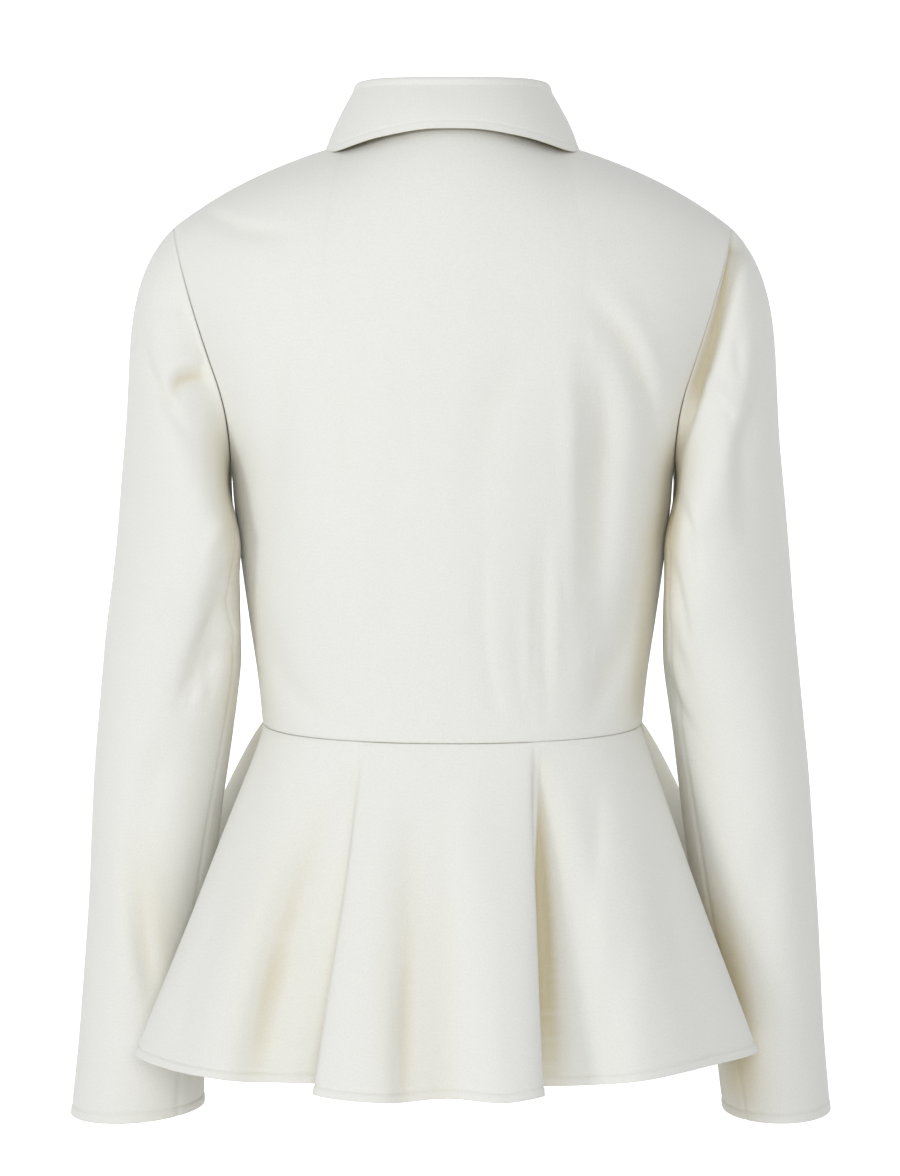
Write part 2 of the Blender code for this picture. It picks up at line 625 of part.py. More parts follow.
def build_collar():
    half = neck_angles()
    past = math.pi + PAST_CENTRE
    columns = np.concatenate([[-past], -half[:0:-1], half, [past]])
    angle = columns[2:-2]
    seams = [((0, ALL), UPWARD)]
    cloth_piece("collar_stand", stand_surface, columns, np.linspace(0, 1, 3), -1.0, seams, thickness=COLLAR_CLOTH)

    fold = fold_line(angle)
    outward = unit(np.stack([np.sin(angle), np.cos(angle), 0 * angle], -1))
    outer, inner = [], []
    for out, up, out_in, up_in in zip(*ROLL.values()):
        outer.append(fold + outward * out + UPWARD * up)
        inner.append(fold + outward * out_in + UPWARD * up_in)
    degrees = np.degrees(np.abs(angle))
    edge = np.stack([smooth(COLLAR["angle"], COLLAR[name], degrees) for name in ("edge_x", "edge_y", "edge_height")], -1)
    edge[:, 0] *= np.sign(angle)
    fall = edge - outer[-1]
    along = np.gradient(edge, axis=0)
    thickness = COLLAR_CLOTH * unit(np.cross(fall, along))
    rolled, tucked = outer[-1], inner[-1] - outer[-1]
    for share in np.linspace(0, 1, FALL_ROWS + 1)[1:]:
        outer.append(rolled + fall * share)
        inner.append(outer[-1] + tucked + (thickness - tucked) * share)
    outer, inner = np.array(outer), np.array(inner)
    right = angle < -math.pi / 2
    across = neckline(angle[right])[:, 0]
    outer[:, right], inner[:, right] = lifted(outer[:, right], across), lifted(inner[:, right], across)
    wall("collar_fall", outer, inner)


def add_button(name, place, outward):
    mesh = bpy.data.meshes.new(name)
    shape = bmesh.new()
    bmesh.ops.create_cone(
        shape,
        cap_ends=True,
        segments=BUTTON_SIDES,
        radius1=BUTTON_RADIUS,
        radius2=BUTTON_RADIUS,
        depth=BUTTON_THICKNESS,
    )
    shape.to_mesh(mesh)
    shape.free()
    mesh.materials.append(material(name, BUTTON_ROUGHNESS))
    made = bpy.data.objects.new(name, mesh)
    bpy.context.scene.collection.objects.link(made)
    turn = np.array([0.0, outward[1], outward[2]])
    made.rotation_euler = (math.atan2(-turn[1], turn[2]), 0.0, 0.0)
    made.location = place + unit(outward) * (BUTTON_THICKNESS / 2 + BUTTON_STAND_OFF)
    rim = made.modifiers.new("rim", "BEVEL")
    rim.width = BUTTON_BEVEL
    rim.segments = 1
    rim.limit_method = "ANGLE"


def forward_of(slope):
    """The forward direction at right angles to a slope that runs up or down the centre line."""
    across = np.cross(slope, np.array([1.0, 0.0, 0.0]))
    return across * -np.sign(across[1])


def on_centre_line(surface, first_u, last_u, last_v, heights):
    """Places on the centre line of a right-hand piece at the given heights, with their forward directions."""
    u, v = np.meshgrid(np.linspace(first_u, last_u, SEARCH_COLUMNS), np.linspace(0, last_v, SEARCH_ROWS))
    points = surface(u, v)
    line = points[np.arange(SEARCH_ROWS), np.abs(points[..., 0]).argmin(1)] * np.array([0.0, 1.0, 1.0])
    found = []
    for height in heights:
        nearest = int(np.abs(line[:, 2] - height).argmin())
        found.append((line[nearest], forward_of(unit(line[nearest + 1] - line[nearest - 1]))))
    return found


def build_buttons():
    low, high = neckline(np.array([math.pi]))[0], fold_line(np.array([math.pi]))[0]
    middle = low + (high - low) * COLLAR_BUTTON_SHARE - np.array([0.0, OVERLAP_LIFT, 0.0])
    places = [(middle, forward_of(unit(high - low)))]
    places += on_centre_line(front_surface(-1.0), 0.0, 0.2, 3.0, BODICE_BUTTONS)
    peplum = peplum_surface(with_overlap(right_side_rows(PEPLUM_FRONT)), -1.0)
    places += on_centre_line(peplum, 0.8, 1.0, 1.0, PEPLUM_BUTTONS)
    for number, (place, outward) in enumerate(places):
        add_button(f"button_{number + 1}", place, outward)


build_bodice()
build_sleeve("sleeve_left", SLEEVE_LEFT, 1.0)
build_sleeve("sleeve_right", SLEEVE_RIGHT, -1.0)
build_peplum()
build_collar()
build_buttons()
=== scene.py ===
import math

import bpy
import numpy as np
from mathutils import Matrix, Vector


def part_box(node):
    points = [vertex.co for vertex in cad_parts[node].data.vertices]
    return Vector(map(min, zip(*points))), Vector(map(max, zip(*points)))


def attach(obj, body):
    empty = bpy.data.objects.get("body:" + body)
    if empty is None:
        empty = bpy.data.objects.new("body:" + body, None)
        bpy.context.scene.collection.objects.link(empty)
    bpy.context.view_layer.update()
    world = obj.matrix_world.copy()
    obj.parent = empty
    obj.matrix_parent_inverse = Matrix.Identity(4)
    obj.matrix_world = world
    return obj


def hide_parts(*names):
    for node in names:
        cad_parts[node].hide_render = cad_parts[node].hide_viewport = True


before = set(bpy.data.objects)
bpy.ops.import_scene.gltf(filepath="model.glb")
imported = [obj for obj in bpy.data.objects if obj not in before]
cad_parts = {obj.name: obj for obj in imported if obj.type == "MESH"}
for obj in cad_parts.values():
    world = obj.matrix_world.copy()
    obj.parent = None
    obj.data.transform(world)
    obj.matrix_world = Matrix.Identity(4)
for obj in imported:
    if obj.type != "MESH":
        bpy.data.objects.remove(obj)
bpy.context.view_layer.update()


def table(columns, *rows):
    return dict(zip(columns.split(), np.array(rows, float).T))


# The same sizes as the solids, so that each shell lies on its own solid's form. Only the collar's lower edge
# and the sleeves' inner sides differ, by a few millimetres, and lie closer to the body.
overlap, overlapLift, liftFrom, liftTo = 0.0125, 0.003, 0.05, 0.018
waist, armpit, chest, sideY, squareness = -0.3915, -0.215, -0.15, -0.003, 0.12
chestBack, chestFront = math.radians(63.0), math.radians(58.0)
neckWidth, neckBack, neckFront = 0.0725, 0.058, -0.07
shoulderX, neckPoint = 0.1885, 0.0045
shoulderFalls = (-0.0348, -0.01, -0.0117)
neckRise, neckHillBack, neckHillFront = 0.0109, 0.0206, -0.0514
neckShare = 0.39
fullnessBack, fullnessFront = (2.0, 2.3), (1.3, 1.4)
foldWidth, foldBack, foldFront, fallEnd = 0.0622, 0.0525, -0.065, 173.0
foldSpacing = 0.7  # how much the width of a fold counts in the spacing of the peplum's columns
halvings, step = 30, 1e-4

torsoRows = table(
    "height   width  back    front",
    (-0.4, 0.1298, 0.094, -0.104),
    (-0.36, 0.1335, 0.0975, -0.112),
    (-0.32, 0.1392, 0.103, -0.1225),
    (-0.28, 0.1446, 0.1085, -0.132),
    (-0.24, 0.1492, 0.1125, -0.137),
    (-0.215, 0.1515, 0.1142, -0.1372),
    (-0.185, 0.1612, 0.1148, -0.1335),
    (-0.15, 0.1745, 0.1135, -0.126),
)
collarRows = table(
    "angle  fold    x       y       z",
    (0, 0.0458, 0.0000, 0.074, 0.0163),
    (9, 0.0458, 0.0146, 0.0731, 0.016),
    (30, 0.0455, 0.0475, 0.064, 0.0106),
    (60, 0.0438, 0.0785, 0.038, 0.0004),
    (90, 0.0385, 0.0862, 0.0000, -0.0008),
    (120, 0.02, 0.085, -0.04, -0.0098),
    (150, -0.0105, 0.069, -0.085, -0.05),
    (180, -0.036, 0.044, -0.118, -0.093),
    (210, -0.0105, 0.01, -0.118, -0.093),
)
rollRows = table(
    "out up",
    (-0.0016, 0.0003),
    (-0.0013, 0.0022),
    (0.0004, 0.0036),
    (0.0026, 0.0037),
    (0.0044, 0.002),
    (0.0053, -0.0014),
)
sleeveLeftRows = table(
    "height   outer   inner   middleY  depth   outerRise  backDrop  innerBack",
    (-0.236, 0.224, 0.143, -0.004, 0.059, 0.034, 0.0000, 0.04),
    (-0.29, 0.2305, 0.144, -0.006, 0.058, 0.018, 0.0000, 0.032),
    (-0.345, 0.2395, 0.145, -0.009, 0.057, 0.006, 0.0000, 0.012),
    (-0.4, 0.2455, 0.1515, -0.014, 0.0555, 0.0000, 0.0000, 0.000),
    (-0.465, 0.25, 0.161, -0.02, 0.0525, -0.001, 0.0000, 0.000),
    (-0.53, 0.254, 0.1675, -0.0245, 0.05, -0.002, 0.0005, 0.000),
    (-0.6, 0.26, 0.172, -0.027, 0.048, -0.0035, 0.001, 0.000),
    (-0.668, 0.267, 0.1745, -0.028, 0.047, -0.0035, 0.001, 0.000),
)
sleeveRightRows = table(
    "height   outer   inner   middleY  depth   outerRise  backDrop  innerBack",
    (-0.236, 0.224, 0.143, -0.004, 0.059, 0.034, 0.0000, 0.04),
    (-0.29, 0.2308, 0.143, -0.006, 0.058, 0.018, 0.0000, 0.032),
    (-0.345, 0.2375, 0.1445, -0.009, 0.057, 0.006, 0.0000, 0.012),
    (-0.4, 0.2435, 0.152, -0.014, 0.0555, 0.0000, 0.0000, 0.000),
    (-0.465, 0.2498, 0.16, -0.02, 0.053, 0.0000, 0.0000, 0.000),
    (-0.53, 0.2545, 0.169, -0.025, 0.0515, 0.0000, 0.0000, 0.000),
    (-0.6, 0.259, 0.181, -0.029, 0.051, 0.0000, 0.0000, 0.000),
    (-0.669, 0.265, 0.19, -0.031, 0.051, 0.0000, 0.0000, 0.000),
)
capFlare = table("share flare", (0, 0.8), (0.25, 0.4), (0.5, 0.3), (0.75, 0.4), (1, 0.8))
capFall, bodyClearance, bodyRounding = 1.1, 0.0006, 0.0012
peplumBackRows = table(
    "angle   x       y        z",
    (90.0, 0.161, -0.006, -0.613),
    (83.0, 0.18, 0.023, -0.613),
    (77.0, 0.2155, 0.049, -0.612),
    (66.0, 0.188, 0.106, -0.611),
    (51.0, 0.15, 0.134, -0.611),
    (36.0, 0.108, 0.13, -0.614),
    (27.0, 0.086, 0.126, -0.616),
    (22.5, 0.0912, 0.159, -0.615),
    (12.0, 0.045, 0.176, -0.6165),
    (1.0, 0.004, 0.164, -0.6165),
    (-10.0, -0.034, 0.174, -0.617),
    (-19.5, -0.0596, 0.157, -0.6165),
    (-23.5, -0.05, 0.113, -0.621),
    (-31.0, -0.083, 0.121, -0.618),
    (-46.0, -0.1239, 0.13, -0.613),
    (-61.0, -0.168, 0.101, -0.6105),
    (-77.0, -0.2075, 0.048, -0.611),
    (-83.0, -0.181, 0.018, -0.613),
    (-90.0, -0.164, -0.009, -0.613),
)
peplumFrontRows = table(
    "angle   x       y        z       spring",
    (90.0, 0.161, -0.006, -0.613, 1.00),
    (96.0, 0.159, -0.042, -0.613, 0.92),
    (101.0, 0.183, -0.088, -0.611, 0.82),
    (106.0, 0.22, -0.126, -0.609, 0.78),
    (118.0, 0.175, -0.156, -0.611, 0.9),
    (132.0, 0.12, -0.15, -0.613, 1.00),
    (147.0, 0.08, -0.188, -0.611, 1.00),
    (163.0, 0.035, -0.172, -0.613, 1.00),
    (180.0, 0.0000, -0.174, -0.613, 1.00),
)
sideHemRight = (0.164, -0.009)


def smooth(knots, values, at):  # a cubic through the rows, whose slopes come from the rows beside each
    slopes = np.gradient(values, knots, axis=0)
    at = np.asarray(at, float)
    i = np.clip(np.searchsorted(knots, at) - 1, 0, len(knots) - 2)
    span = knots[i + 1] - knots[i]
    t = (at - knots[i]) / span
    return (
        values[i] * (1 + 2 * t) * (1 - t) ** 2
        + values[i + 1] * t * t * (3 - 2 * t)
        + slopes[i] * span * t * (1 - t) ** 2
        - slopes[i + 1] * span * t * t * (1 - t)
    )


def hermite(start, end, leaving, arriving, t):  # a curve with given ends and tangents
    t = t[..., None]
    return (
        start * (1 + 2 * t) * (1 - t) ** 2
        + end * t * t * (3 - 2 * t)
        + leaving * t * (1 - t) ** 2
        - arriving * t * t * (1 - t)
    )


def ease(t):
    t = np.clip(t, 0.0, 1.0)
    return t * t * (3 - 2 * t)


def unit(vectors):
    return vectors / np.maximum(np.linalg.norm(vectors, axis=-1, keepdims=True), 1e-12)


def lifted(points, x):  # the right front lies over the left near the centre line
    lift = overlapLift * ease((liftFrom + x) / (liftFrom - liftTo))
    return points - np.stack([0 * lift, lift, 0 * lift], -1)


def torsoAt(name, height):
    return smooth(torsoRows["height"], torsoRows[name], height)


def torso(angle, height, isFront):  # an ellipse with fuller corners at each height
    width = torsoAt("width", height)
    reach = torsoAt("front" if isFront else "back", height)
    x = width * np.sin(angle) * (1 + squareness * np.cos(angle) ** 2)
    y = sideY + (reach - sideY) * np.cos(angle)
    return np.stack([x, y, height + 0 * x], -1)


def shoulderLine(u, isFront):  # where each column ends on the shoulder line, run on inside the neck
    first = -overlap if isFront else 0.0
    x = first + (neckWidth - first) * np.clip(u / neckShare, None, 1.0)
    t = np.clip((u - neckShare) / (1 - neckShare), 0.0, None)
    inside = np.clip(1 - (x / neckWidth) ** 2, 0.0, None)
    height = neckPoint + neckRise * inside + (neckHillFront if isFront else neckHillBack) * inside**2
    for power, fall in enumerate(shoulderFalls, 1):
        height = height + fall * t**power
    return np.stack([x + (shoulderX - neckWidth) * t, 0 * t, height], -1)


def panelAngle(u, edge, height, isFront):
    first = 0.0
    if isFront:
        first = -np.arcsin(overlap / (torsoAt("width", height) * (1 + squareness)))
    return first + (edge - first) * u


def neckReach(u, curve, isFront):  # how far up its curve a column meets the oval of the neck, by halving
    depth = neckFront if isFront else neckBack
    low, high = 0 * u, 0 * u + 1
    for _ in range(halvings):
        middle = (low + high) / 2
        point = hermite(*curve, middle)
        isOutside = (point[..., 0] / neckWidth) ** 2 + (point[..., 1] / depth) ** 2 > 1
        low, high = np.where(isOutside, middle, low), np.where(isOutside, high, middle)
    return np.where(u < neckShare, low, 1.0)


def bodice(u, v, isFront):  # u from the middle to the side, v 0 at the waist, 1 armpit, 2 chest, 3 top
    chestAngle = chestFront if isFront else chestBack
    turn = np.clip(v - 1, 0.0, 1.0) * math.pi / 2
    sideHeight = waist + (armpit - waist) * np.minimum(v, 1.0)
    edgeHeight = sideHeight + (chest - armpit) * (1 - np.cos(turn))
    middleHeight = sideHeight + (chest - armpit) * turn / (math.pi / 2)
    edge = math.pi / 2 - (math.pi / 2 - chestAngle) * np.sin(turn)
    height = middleHeight + (edgeHeight - middleHeight) * u**4
    low = torso(panelAngle(u, edge, height, isFront), height, isFront)

    chestHeight = chest + 0 * u
    angle = panelAngle(u, chestAngle, chestHeight, isFront)
    start = torso(angle, chestHeight, isFront)
    end = shoulderLine(u, isFront)
    rise = (start - torso(angle, chestHeight - step, isFront)) / step
    up, over = fullnessFront if isFront else fullnessBack
    leaving = rise * (up * (end[..., 2] - start[..., 2]))[..., None]
    facing = 1.0 if isFront else -1.0
    arriving = np.stack([0 * u, facing * over * np.abs(start[..., 1]), 0 * u], -1)
    curve = (start, end, leaving, arriving)
    high = hermite(*curve, np.clip(v - 2, 0.0, None) * neckReach(u, curve, isFront))
    return np.where((v > 2)[..., None], high, low)


def neckColumn(turn, isFront):  # the column that ends at an angle round the neck
    first = -overlap if isFront else 0.0
    return neckShare * (neckWidth * np.sin(turn) - first) / (neckWidth - first)


def neckline(angle):
    turn, top = np.abs(angle), 3 + 0 * angle
    atBack = bodice(neckColumn(turn, False), top, False)
    atFront = bodice(neckColumn(turn, True), top, True)
    half = np.where((turn <= math.pi / 2)[..., None], atBack, atFront)
    return half * np.stack([np.sign(angle), 1 + 0 * angle, 1 + 0 * angle], -1)


def foldLine(angle):  # the top edge of the collar stand
    depth = np.where(np.cos(angle) > 0, foldBack, -foldFront)
    height = smooth(collarRows["angle"], collarRows["fold"], np.degrees(np.abs(angle)))
    return np.stack([foldWidth * np.sin(angle), depth * np.cos(angle), height], -1)


def armhole(share):  # 0 at the shoulder, round the back to 0.5 at the armpit, and up the front to 1
    def row(s):
        return np.where(s < 7 / 12, 3 - s * 12 / 7, 2 - (s - 7 / 12) * 12 / 5)

    atBack = bodice(1 + 0 * share, row(np.clip(2 * share, 0, 1)), False)
    atFront = bodice(1 + 0 * share, row(np.clip(2 - 2 * share, 0, 1)), True)
    return np.where((share <= 0.5)[..., None], atBack, atFront)


def sleeveRing(rows, share, level):  # an oval ring of the sleeve, at a row number of its table
    numbers = np.arange(len(rows["height"]), dtype=float)
    at = {name: smooth(numbers, column, level) for name, column in rows.items()}
    turn = 2 * math.pi * share
    return np.stack(
        [
            (at["outer"] + at["inner"]) / 2 + (at["outer"] - at["inner"]) / 2 * np.cos(turn),
            at["middleY"] + at["depth"] * np.sin(turn) + at["innerBack"] * (1 - np.cos(turn)) / 2,
            at["height"] + at["outerRise"] * np.cos(turn) - at["backDrop"] * np.sin(turn),
        ],
        -1,
    )


def besideBody(points, v):  # the left sleeve turns aside where it would touch the side of the body
    x, y, height = points[..., 0], points[..., 1], np.clip(points[..., 2], waist, armpit)
    reach = np.where(y > sideY, torsoAt("back", height), torsoAt("front", height))
    cosine = np.clip((y - sideY) / (reach - sideY), 0.0, 1.0)
    body = torsoAt("width", height) * np.sqrt(1 - cosine**2) * (1 + squareness * cosine**2)
    limit = body + bodyClearance * ease(v / 0.4)
    room = x - limit
    turned = limit + (room + np.sqrt(room**2 + bodyRounding**2)) / 2
    share = ease((armpit + 0.005 - points[..., 2]) / 0.02) * ease(v / 0.2)
    return np.concatenate([(x + (turned - x) * share)[..., None], points[..., 1:]], -1)


def sleeve(rows, u, v):  # the cap from the armhole to the first ring, then down the rings
    start, end = armhole(np.mod(u, 1.0)), sleeveRing(rows, u, 0 * u)
    down = unit(sleeveRing(rows, u, 0 * u + step) - end)
    chord = end - start
    length = np.linalg.norm(chord, axis=-1, keepdims=True)
    flare = smooth(capFlare["share"], capFlare["flare"], np.mod(u, 1.0))
    leaving = length * unit(unit(chord) + flare[..., None] * np.array([1.0, 0.0, 0.0]))
    cap = hermite(start, end, leaving, capFall * length * down, np.clip(v, None, 1.0))
    return besideBody(np.where((v < 1)[..., None], cap, sleeveRing(rows, u, np.clip(v - 1, 0.0, None))), v)


def hemPlaces(rows):  # the hem's points, and the share of the way along it at which each one lies
    hem = np.stack([rows["x"], rows["y"], rows["z"]], -1)
    knots = np.concatenate([[0.0], np.cumsum(np.linalg.norm(np.diff(hem, axis=0), axis=1) ** foldSpacing)])
    return hem, knots / knots[-1]


def peplum(rows, u, v):  # straight falls from the waist seam to the folds of the hem
    hem, knots = hemPlaces(rows)
    angle = np.radians(smooth(knots, rows["angle"], u))
    atBack = torso(angle, waist + 0 * u, False)
    atFront = torso(math.pi - angle, waist + 0 * u, True)
    top = np.where((np.abs(angle) <= math.pi / 2)[..., None], atBack, atFront)
    end = np.stack([smooth(knots, hem[:, i], u) for i in range(3)], -1)
    spring = smooth(knots, rows.get("spring", 1 + 0 * knots), u)
    out = np.clip(v, 1e-9, None) ** spring
    return top + (end - top) * np.stack([out, out, v + 0 * u], -1)


def withOverlap(rows, side):  # the front's table carried past the centre line
    own = {name: np.append(column, column[-1]) for name, column in rows.items()}
    width = float(torsoAt("width", waist))
    own["angle"][-1] += math.degrees(math.asin(overlap / (width * (1 + squareness))))
    own["x"][-1] = -overlap
    if side < 0:
        own["x"][0], own["y"][0] = sideHemRight
    return own


# Cloth in the making: grids of points, their normals, and distances along them
creaseShape = {"steps": 41, "reach": 3.2, "end": 0.06, "fullness": 0.8}
cloth = {
    "thick": 0.0011,
    "collarThick": 0.0014,
    "seamDip": 0.0005,
    "seamWidth": 0.0018,
    "armholeDip": 0.0003,
    "armholeWidth": 0.0014,
    "sideDip": 0.0006,
    "sideWidth": 0.002,
    "waistDip": 0.0007,
    "waistWidth": 0.0022,
    "hem": 0.0062,
    "hemStep": 0.0005,
    "hemEdge": 0.0007,
    "hemDip": 0.0008,
    "hemWidth": 0.0012,
    # Painted shade on the inner faces, from 0 to 1
    "insidePaintedShade": 1.0,
}


def normalsOf(points, facing, isRing=False):
    if isRing:
        wide = np.concatenate([points[:, -2:-1], points, points[:, 1:2]], 1)
        along = np.gradient(wide, axis=1)[:, 1:-1]
    else:
        along = np.gradient(points, axis=1)
    return facing * unit(np.cross(along, np.gradient(points, axis=0)))


def lengths(points, axis):  # how far each point lies from the grid's first row or column
    steps = np.linalg.norm(np.diff(points, axis=axis), axis=-1)
    return np.concatenate([0 * np.take(steps, [0], axis), np.cumsum(steps, axis)], axis)


def edges(points):  # distances from the first and last row, and from the first and last column
    down, across = lengths(points, 0), lengths(points, 1)
    return down, down[-1:] - down, across, across[:, -1:] - across


# The sum of long soft troughs (depth below 0) and ridges. Each lies beside a smooth line through up to five places
# in x and z. It fades to both ends, and its near side may be steeper than the other.
def crease(points, weight, rows):
    total = np.zeros(points.shape[:-1])
    flat = points[..., [0, 2]].reshape(-1, 2)
    t = np.linspace(0, 1, creaseShape["steps"])
    for line, depth, width, lean in rows:
        line = np.array(line, float)
        knots = np.linspace(0, 1, len(line))
        path = np.stack([smooth(knots, line[:, i], t) for i in range(2)], -1)
        reach = creaseShape["reach"] * width
        near = np.flatnonzero(((flat > path.min(0) - reach) & (flat < path.max(0) + reach)).all(1))
        if not len(near):
            continue
        gap = flat[near, None] - path[None]
        distance = (gap**2).sum(-1)
        nearest = distance.argmin(1)
        along = np.gradient(path, axis=0)[nearest]
        offset = gap[np.arange(len(near)), nearest]
        side = np.sign(along[:, 0] * offset[:, 1] - along[:, 1] * offset[:, 0])
        wide = width * (1 + lean * side)
        ends = creaseShape["end"] + (1 - 2 * creaseShape["end"]) * t[nearest]
        fade = np.sin(math.pi * np.clip(ends, 0, 1)) ** creaseShape["fullness"]
        total.reshape(-1)[near] += depth * fade * np.exp(-distance[np.arange(len(near)), nearest] / wide**2)
    return total * weight


def average(values, reach, axis, isRing):  # the mean over a number of columns or rows to both sides
    if reach < 1:
        return values
    pad = [(0, 0)] * values.ndim
    pad[axis] = (reach + 1, reach)
    total = np.cumsum(np.pad(values, pad, "wrap" if isRing else "edge"), axis)
    count = values.shape[axis]
    high = np.take(total, np.arange(2 * reach + 1, 2 * reach + 1 + count), axis)
    return (high - np.take(total, np.arange(count), axis)) / (2 * reach + 1)


# How far each point lies in a dip, from 0 to 1: the mean of the points around it lies that far outside it. It
# sets how much shade is painted there
def hollows(points, normals, isRing=False, reach=0.018, full=0.009):
    across = lengths(points, 1)[:, -1].mean() / (points.shape[1] - 1)
    down = lengths(points, 0)[-1].mean() / (points.shape[0] - 1)
    mean = average(points[:, :-1] if isRing else points, int(reach / across), 1, isRing)
    mean = np.concatenate([mean, mean[:, :1]], 1) if isRing else mean
    mean = average(mean, int(reach / down), 0, False)
    return np.clip(((mean - points) * normals).sum(-1) / full, 0, 1)


def groove(distance, depth, width):
    return -depth * np.exp(-((distance / width) ** 2))


def seamDip(distance, kind):
    return groove(distance, cloth[kind + "Dip"], cloth[kind + "Width"])


def hemShift(up):  # a turned hem is thicker, with a dip along its row of stitches
    return cloth["hemStep"] * ease((cloth["hem"] - up) / cloth["hemEdge"]) + seamDip(up - cloth["hem"], "hem")


def ripple(a, b, scale, seed):  # slow unevenness, a few crossed waves with fixed phases
    rng = np.random.default_rng(seed)
    total = 0 * a
    waves = 7
    for _ in range(waves):
        turn, phase, pace = rng.uniform(0, 2 * math.pi), rng.uniform(0, 2 * math.pi), rng.uniform(0.6, 1.7)
        total = total + np.sin((a * np.cos(turn) + b * np.sin(turn)) * 2 * math.pi * pace / scale + phase)
    return total / waves


# Materials, all procedural and all in the cloth's own metres
def nodeMaterial(name):
    made = bpy.data.materials.new(name)
    made.use_nodes = True
    nodes, links = made.node_tree.nodes, made.node_tree.links
    return made, nodes, links, nodes["Principled BSDF"]


# Ivory cotton: slubs and threads along the cloth's own directions, and painted shade: a darker, warmer colour in
# concave places, along given shadow lines and on the inner faces
def clothMaterial(name):
    made, nodes, links, shader = nodeMaterial(name)
    uv = nodes.new("ShaderNodeUVMap")
    uv.uv_map = "cloth"

    def scaled(scaleU, scaleV):
        mapping = nodes.new("ShaderNodeMapping")
        mapping.inputs["Scale"].default_value = (scaleU, scaleV, 1.0)
        links.new(uv.outputs[0], mapping.inputs[0])
        return mapping.outputs[0]

    def noise(scaleU, scaleV, detail):
        made = nodes.new("ShaderNodeTexNoise")
        made.inputs["Scale"].default_value = 1.0
        made.inputs["Detail"].default_value = detail
        links.new(scaled(scaleU, scaleV), made.inputs[0])
        return made.outputs["Fac"]

    def weave(pitch, axis):
        wave = nodes.new("ShaderNodeTexWave")
        wave.wave_type, wave.bands_direction = "BANDS", axis
        wave.inputs["Scale"].default_value = 0.314159
        links.new(scaled(1 / pitch, 1 / pitch), wave.inputs[0])
        return wave.outputs["Fac"]

    def plus(a, b, factor):
        made = nodes.new("ShaderNodeMath")
        made.operation = "MULTIPLY_ADD"
        links.new(b, made.inputs[0])
        made.inputs[1].default_value = factor
        links.new(a, made.inputs[2])
        return made.outputs[0]

    def ramp(value, *stops):
        made = nodes.new("ShaderNodeValToRGB")
        steps = made.color_ramp.elements
        steps[0].position, steps[1].position = stops[0][0], stops[-1][0]
        steps[0].color, steps[1].color = (*stops[0][1], 1), (*stops[-1][1], 1)
        for position, colour in stops[1:-1]:
            steps.new(position).color = (*colour, 1)
        links.new(value, made.inputs[0])
        return made.outputs[0]

    slubs = plus(noise(1500, 90, 1), noise(90, 1500, 1), 0.8)
    threads = plus(weave(0.00055, "X"), weave(0.00055, "Y"), 1.0)
    relief = plus(slubs, threads, 0.35)
    speckle = ramp(noise(700, 700, 1), (0.3, (0.955, 0.955, 0.955)), (0.7, (1, 1, 1)))
    # Painted shade: 0 leaves the ivory as it is, 1 darkens it to a warm tan
    paintedShade = nodes.new("ShaderNodeAttribute")
    paintedShade.attribute_name = "paintedShade"
    paintedShadeColour = ramp(
        paintedShade.outputs["Fac"],
        (0.0, (0.86, 0.85, 0.79)),
        (0.35, (0.835, 0.81, 0.715)),
        (1.0, (0.66, 0.585, 0.4)),
    )
    both = nodes.new("ShaderNodeMix")
    both.data_type, both.blend_type = "RGBA", "MULTIPLY"
    both.inputs["Factor"].default_value = 1.0
    links.new(paintedShadeColour, both.inputs["A"])
    links.new(speckle, both.inputs["B"])
    links.new(both.outputs["Result"], shader.inputs["Base Color"])
    bump = nodes.new("ShaderNodeBump")
    bump.inputs["Strength"].default_value = 0.35
    bump.inputs["Distance"].default_value = 0.00035
    links.new(relief, bump.inputs["Height"])
    links.new(bump.outputs[0], shader.inputs["Normal"])
    shader.inputs["Roughness"].default_value = 0.82
    shader.inputs["Specular IOR Level"].default_value = 0.2
    shader.inputs["Sheen Weight"].default_value = 0.06
    shader.inputs["Sheen Roughness"].default_value = 0.5
    return made


def mottledMaterial(name, scale, dark, light, roughness):
    made, nodes, links, shader = nodeMaterial(name)
    place = nodes.new("ShaderNodeTexCoord")
    noise = nodes.new("ShaderNodeTexNoise")
    noise.inputs["Scale"].default_value = scale
    links.new(place.outputs["Object"], noise.inputs[0])
    ramp = nodes.new("ShaderNodeValToRGB")
    ramp.color_ramp.elements[0].color = (*dark, 1)
    ramp.color_ramp.elements[1].color = (*light, 1)
    links.new(noise.outputs["Fac"], ramp.inputs[0])
    links.new(ramp.outputs[0], shader.inputs["Base Color"])
    shader.inputs["Roughness"].default_value = roughness
    return made


clothFinish, collarFinish = clothMaterial("ivoryCloth"), clothMaterial("ivoryCollar")
buttonFinish = mottledMaterial("ivoryButton", 260.0, (0.72, 0.7, 0.63), (0.84, 0.83, 0.77), 0.28)
threadFinish = mottledMaterial("ivoryThread", 900.0, (0.74, 0.72, 0.65), (0.86, 0.85, 0.79), 0.5)


def meshObject(name, points, quads, finish, uvs=None):
    mesh = bpy.data.meshes.new(name)
    mesh.vertices.add(len(points))
    mesh.vertices.foreach_set("co", np.ascontiguousarray(points, np.float32).ravel())
    mesh.loops.add(quads.size)
    mesh.loops.foreach_set("vertex_index", quads.astype(np.int32).ravel())
    mesh.polygons.add(len(quads))
    mesh.polygons.foreach_set("loop_start", (np.arange(len(quads)) * 4).astype(np.int32))
    mesh.update(calc_edges=True)
    if uvs is not None:
        layer = mesh.uv_layers.new(name="cloth")
        layer.data.foreach_set("uv", np.ascontiguousarray(uvs, np.float32).ravel())
    mesh.polygons.foreach_set("use_smooth", np.ones(len(quads), bool))
    mesh.materials.append(finish)
    mesh.validate()
    made = bpy.data.objects.new(name, mesh)
    bpy.context.scene.collection.objects.link(made)
    return made


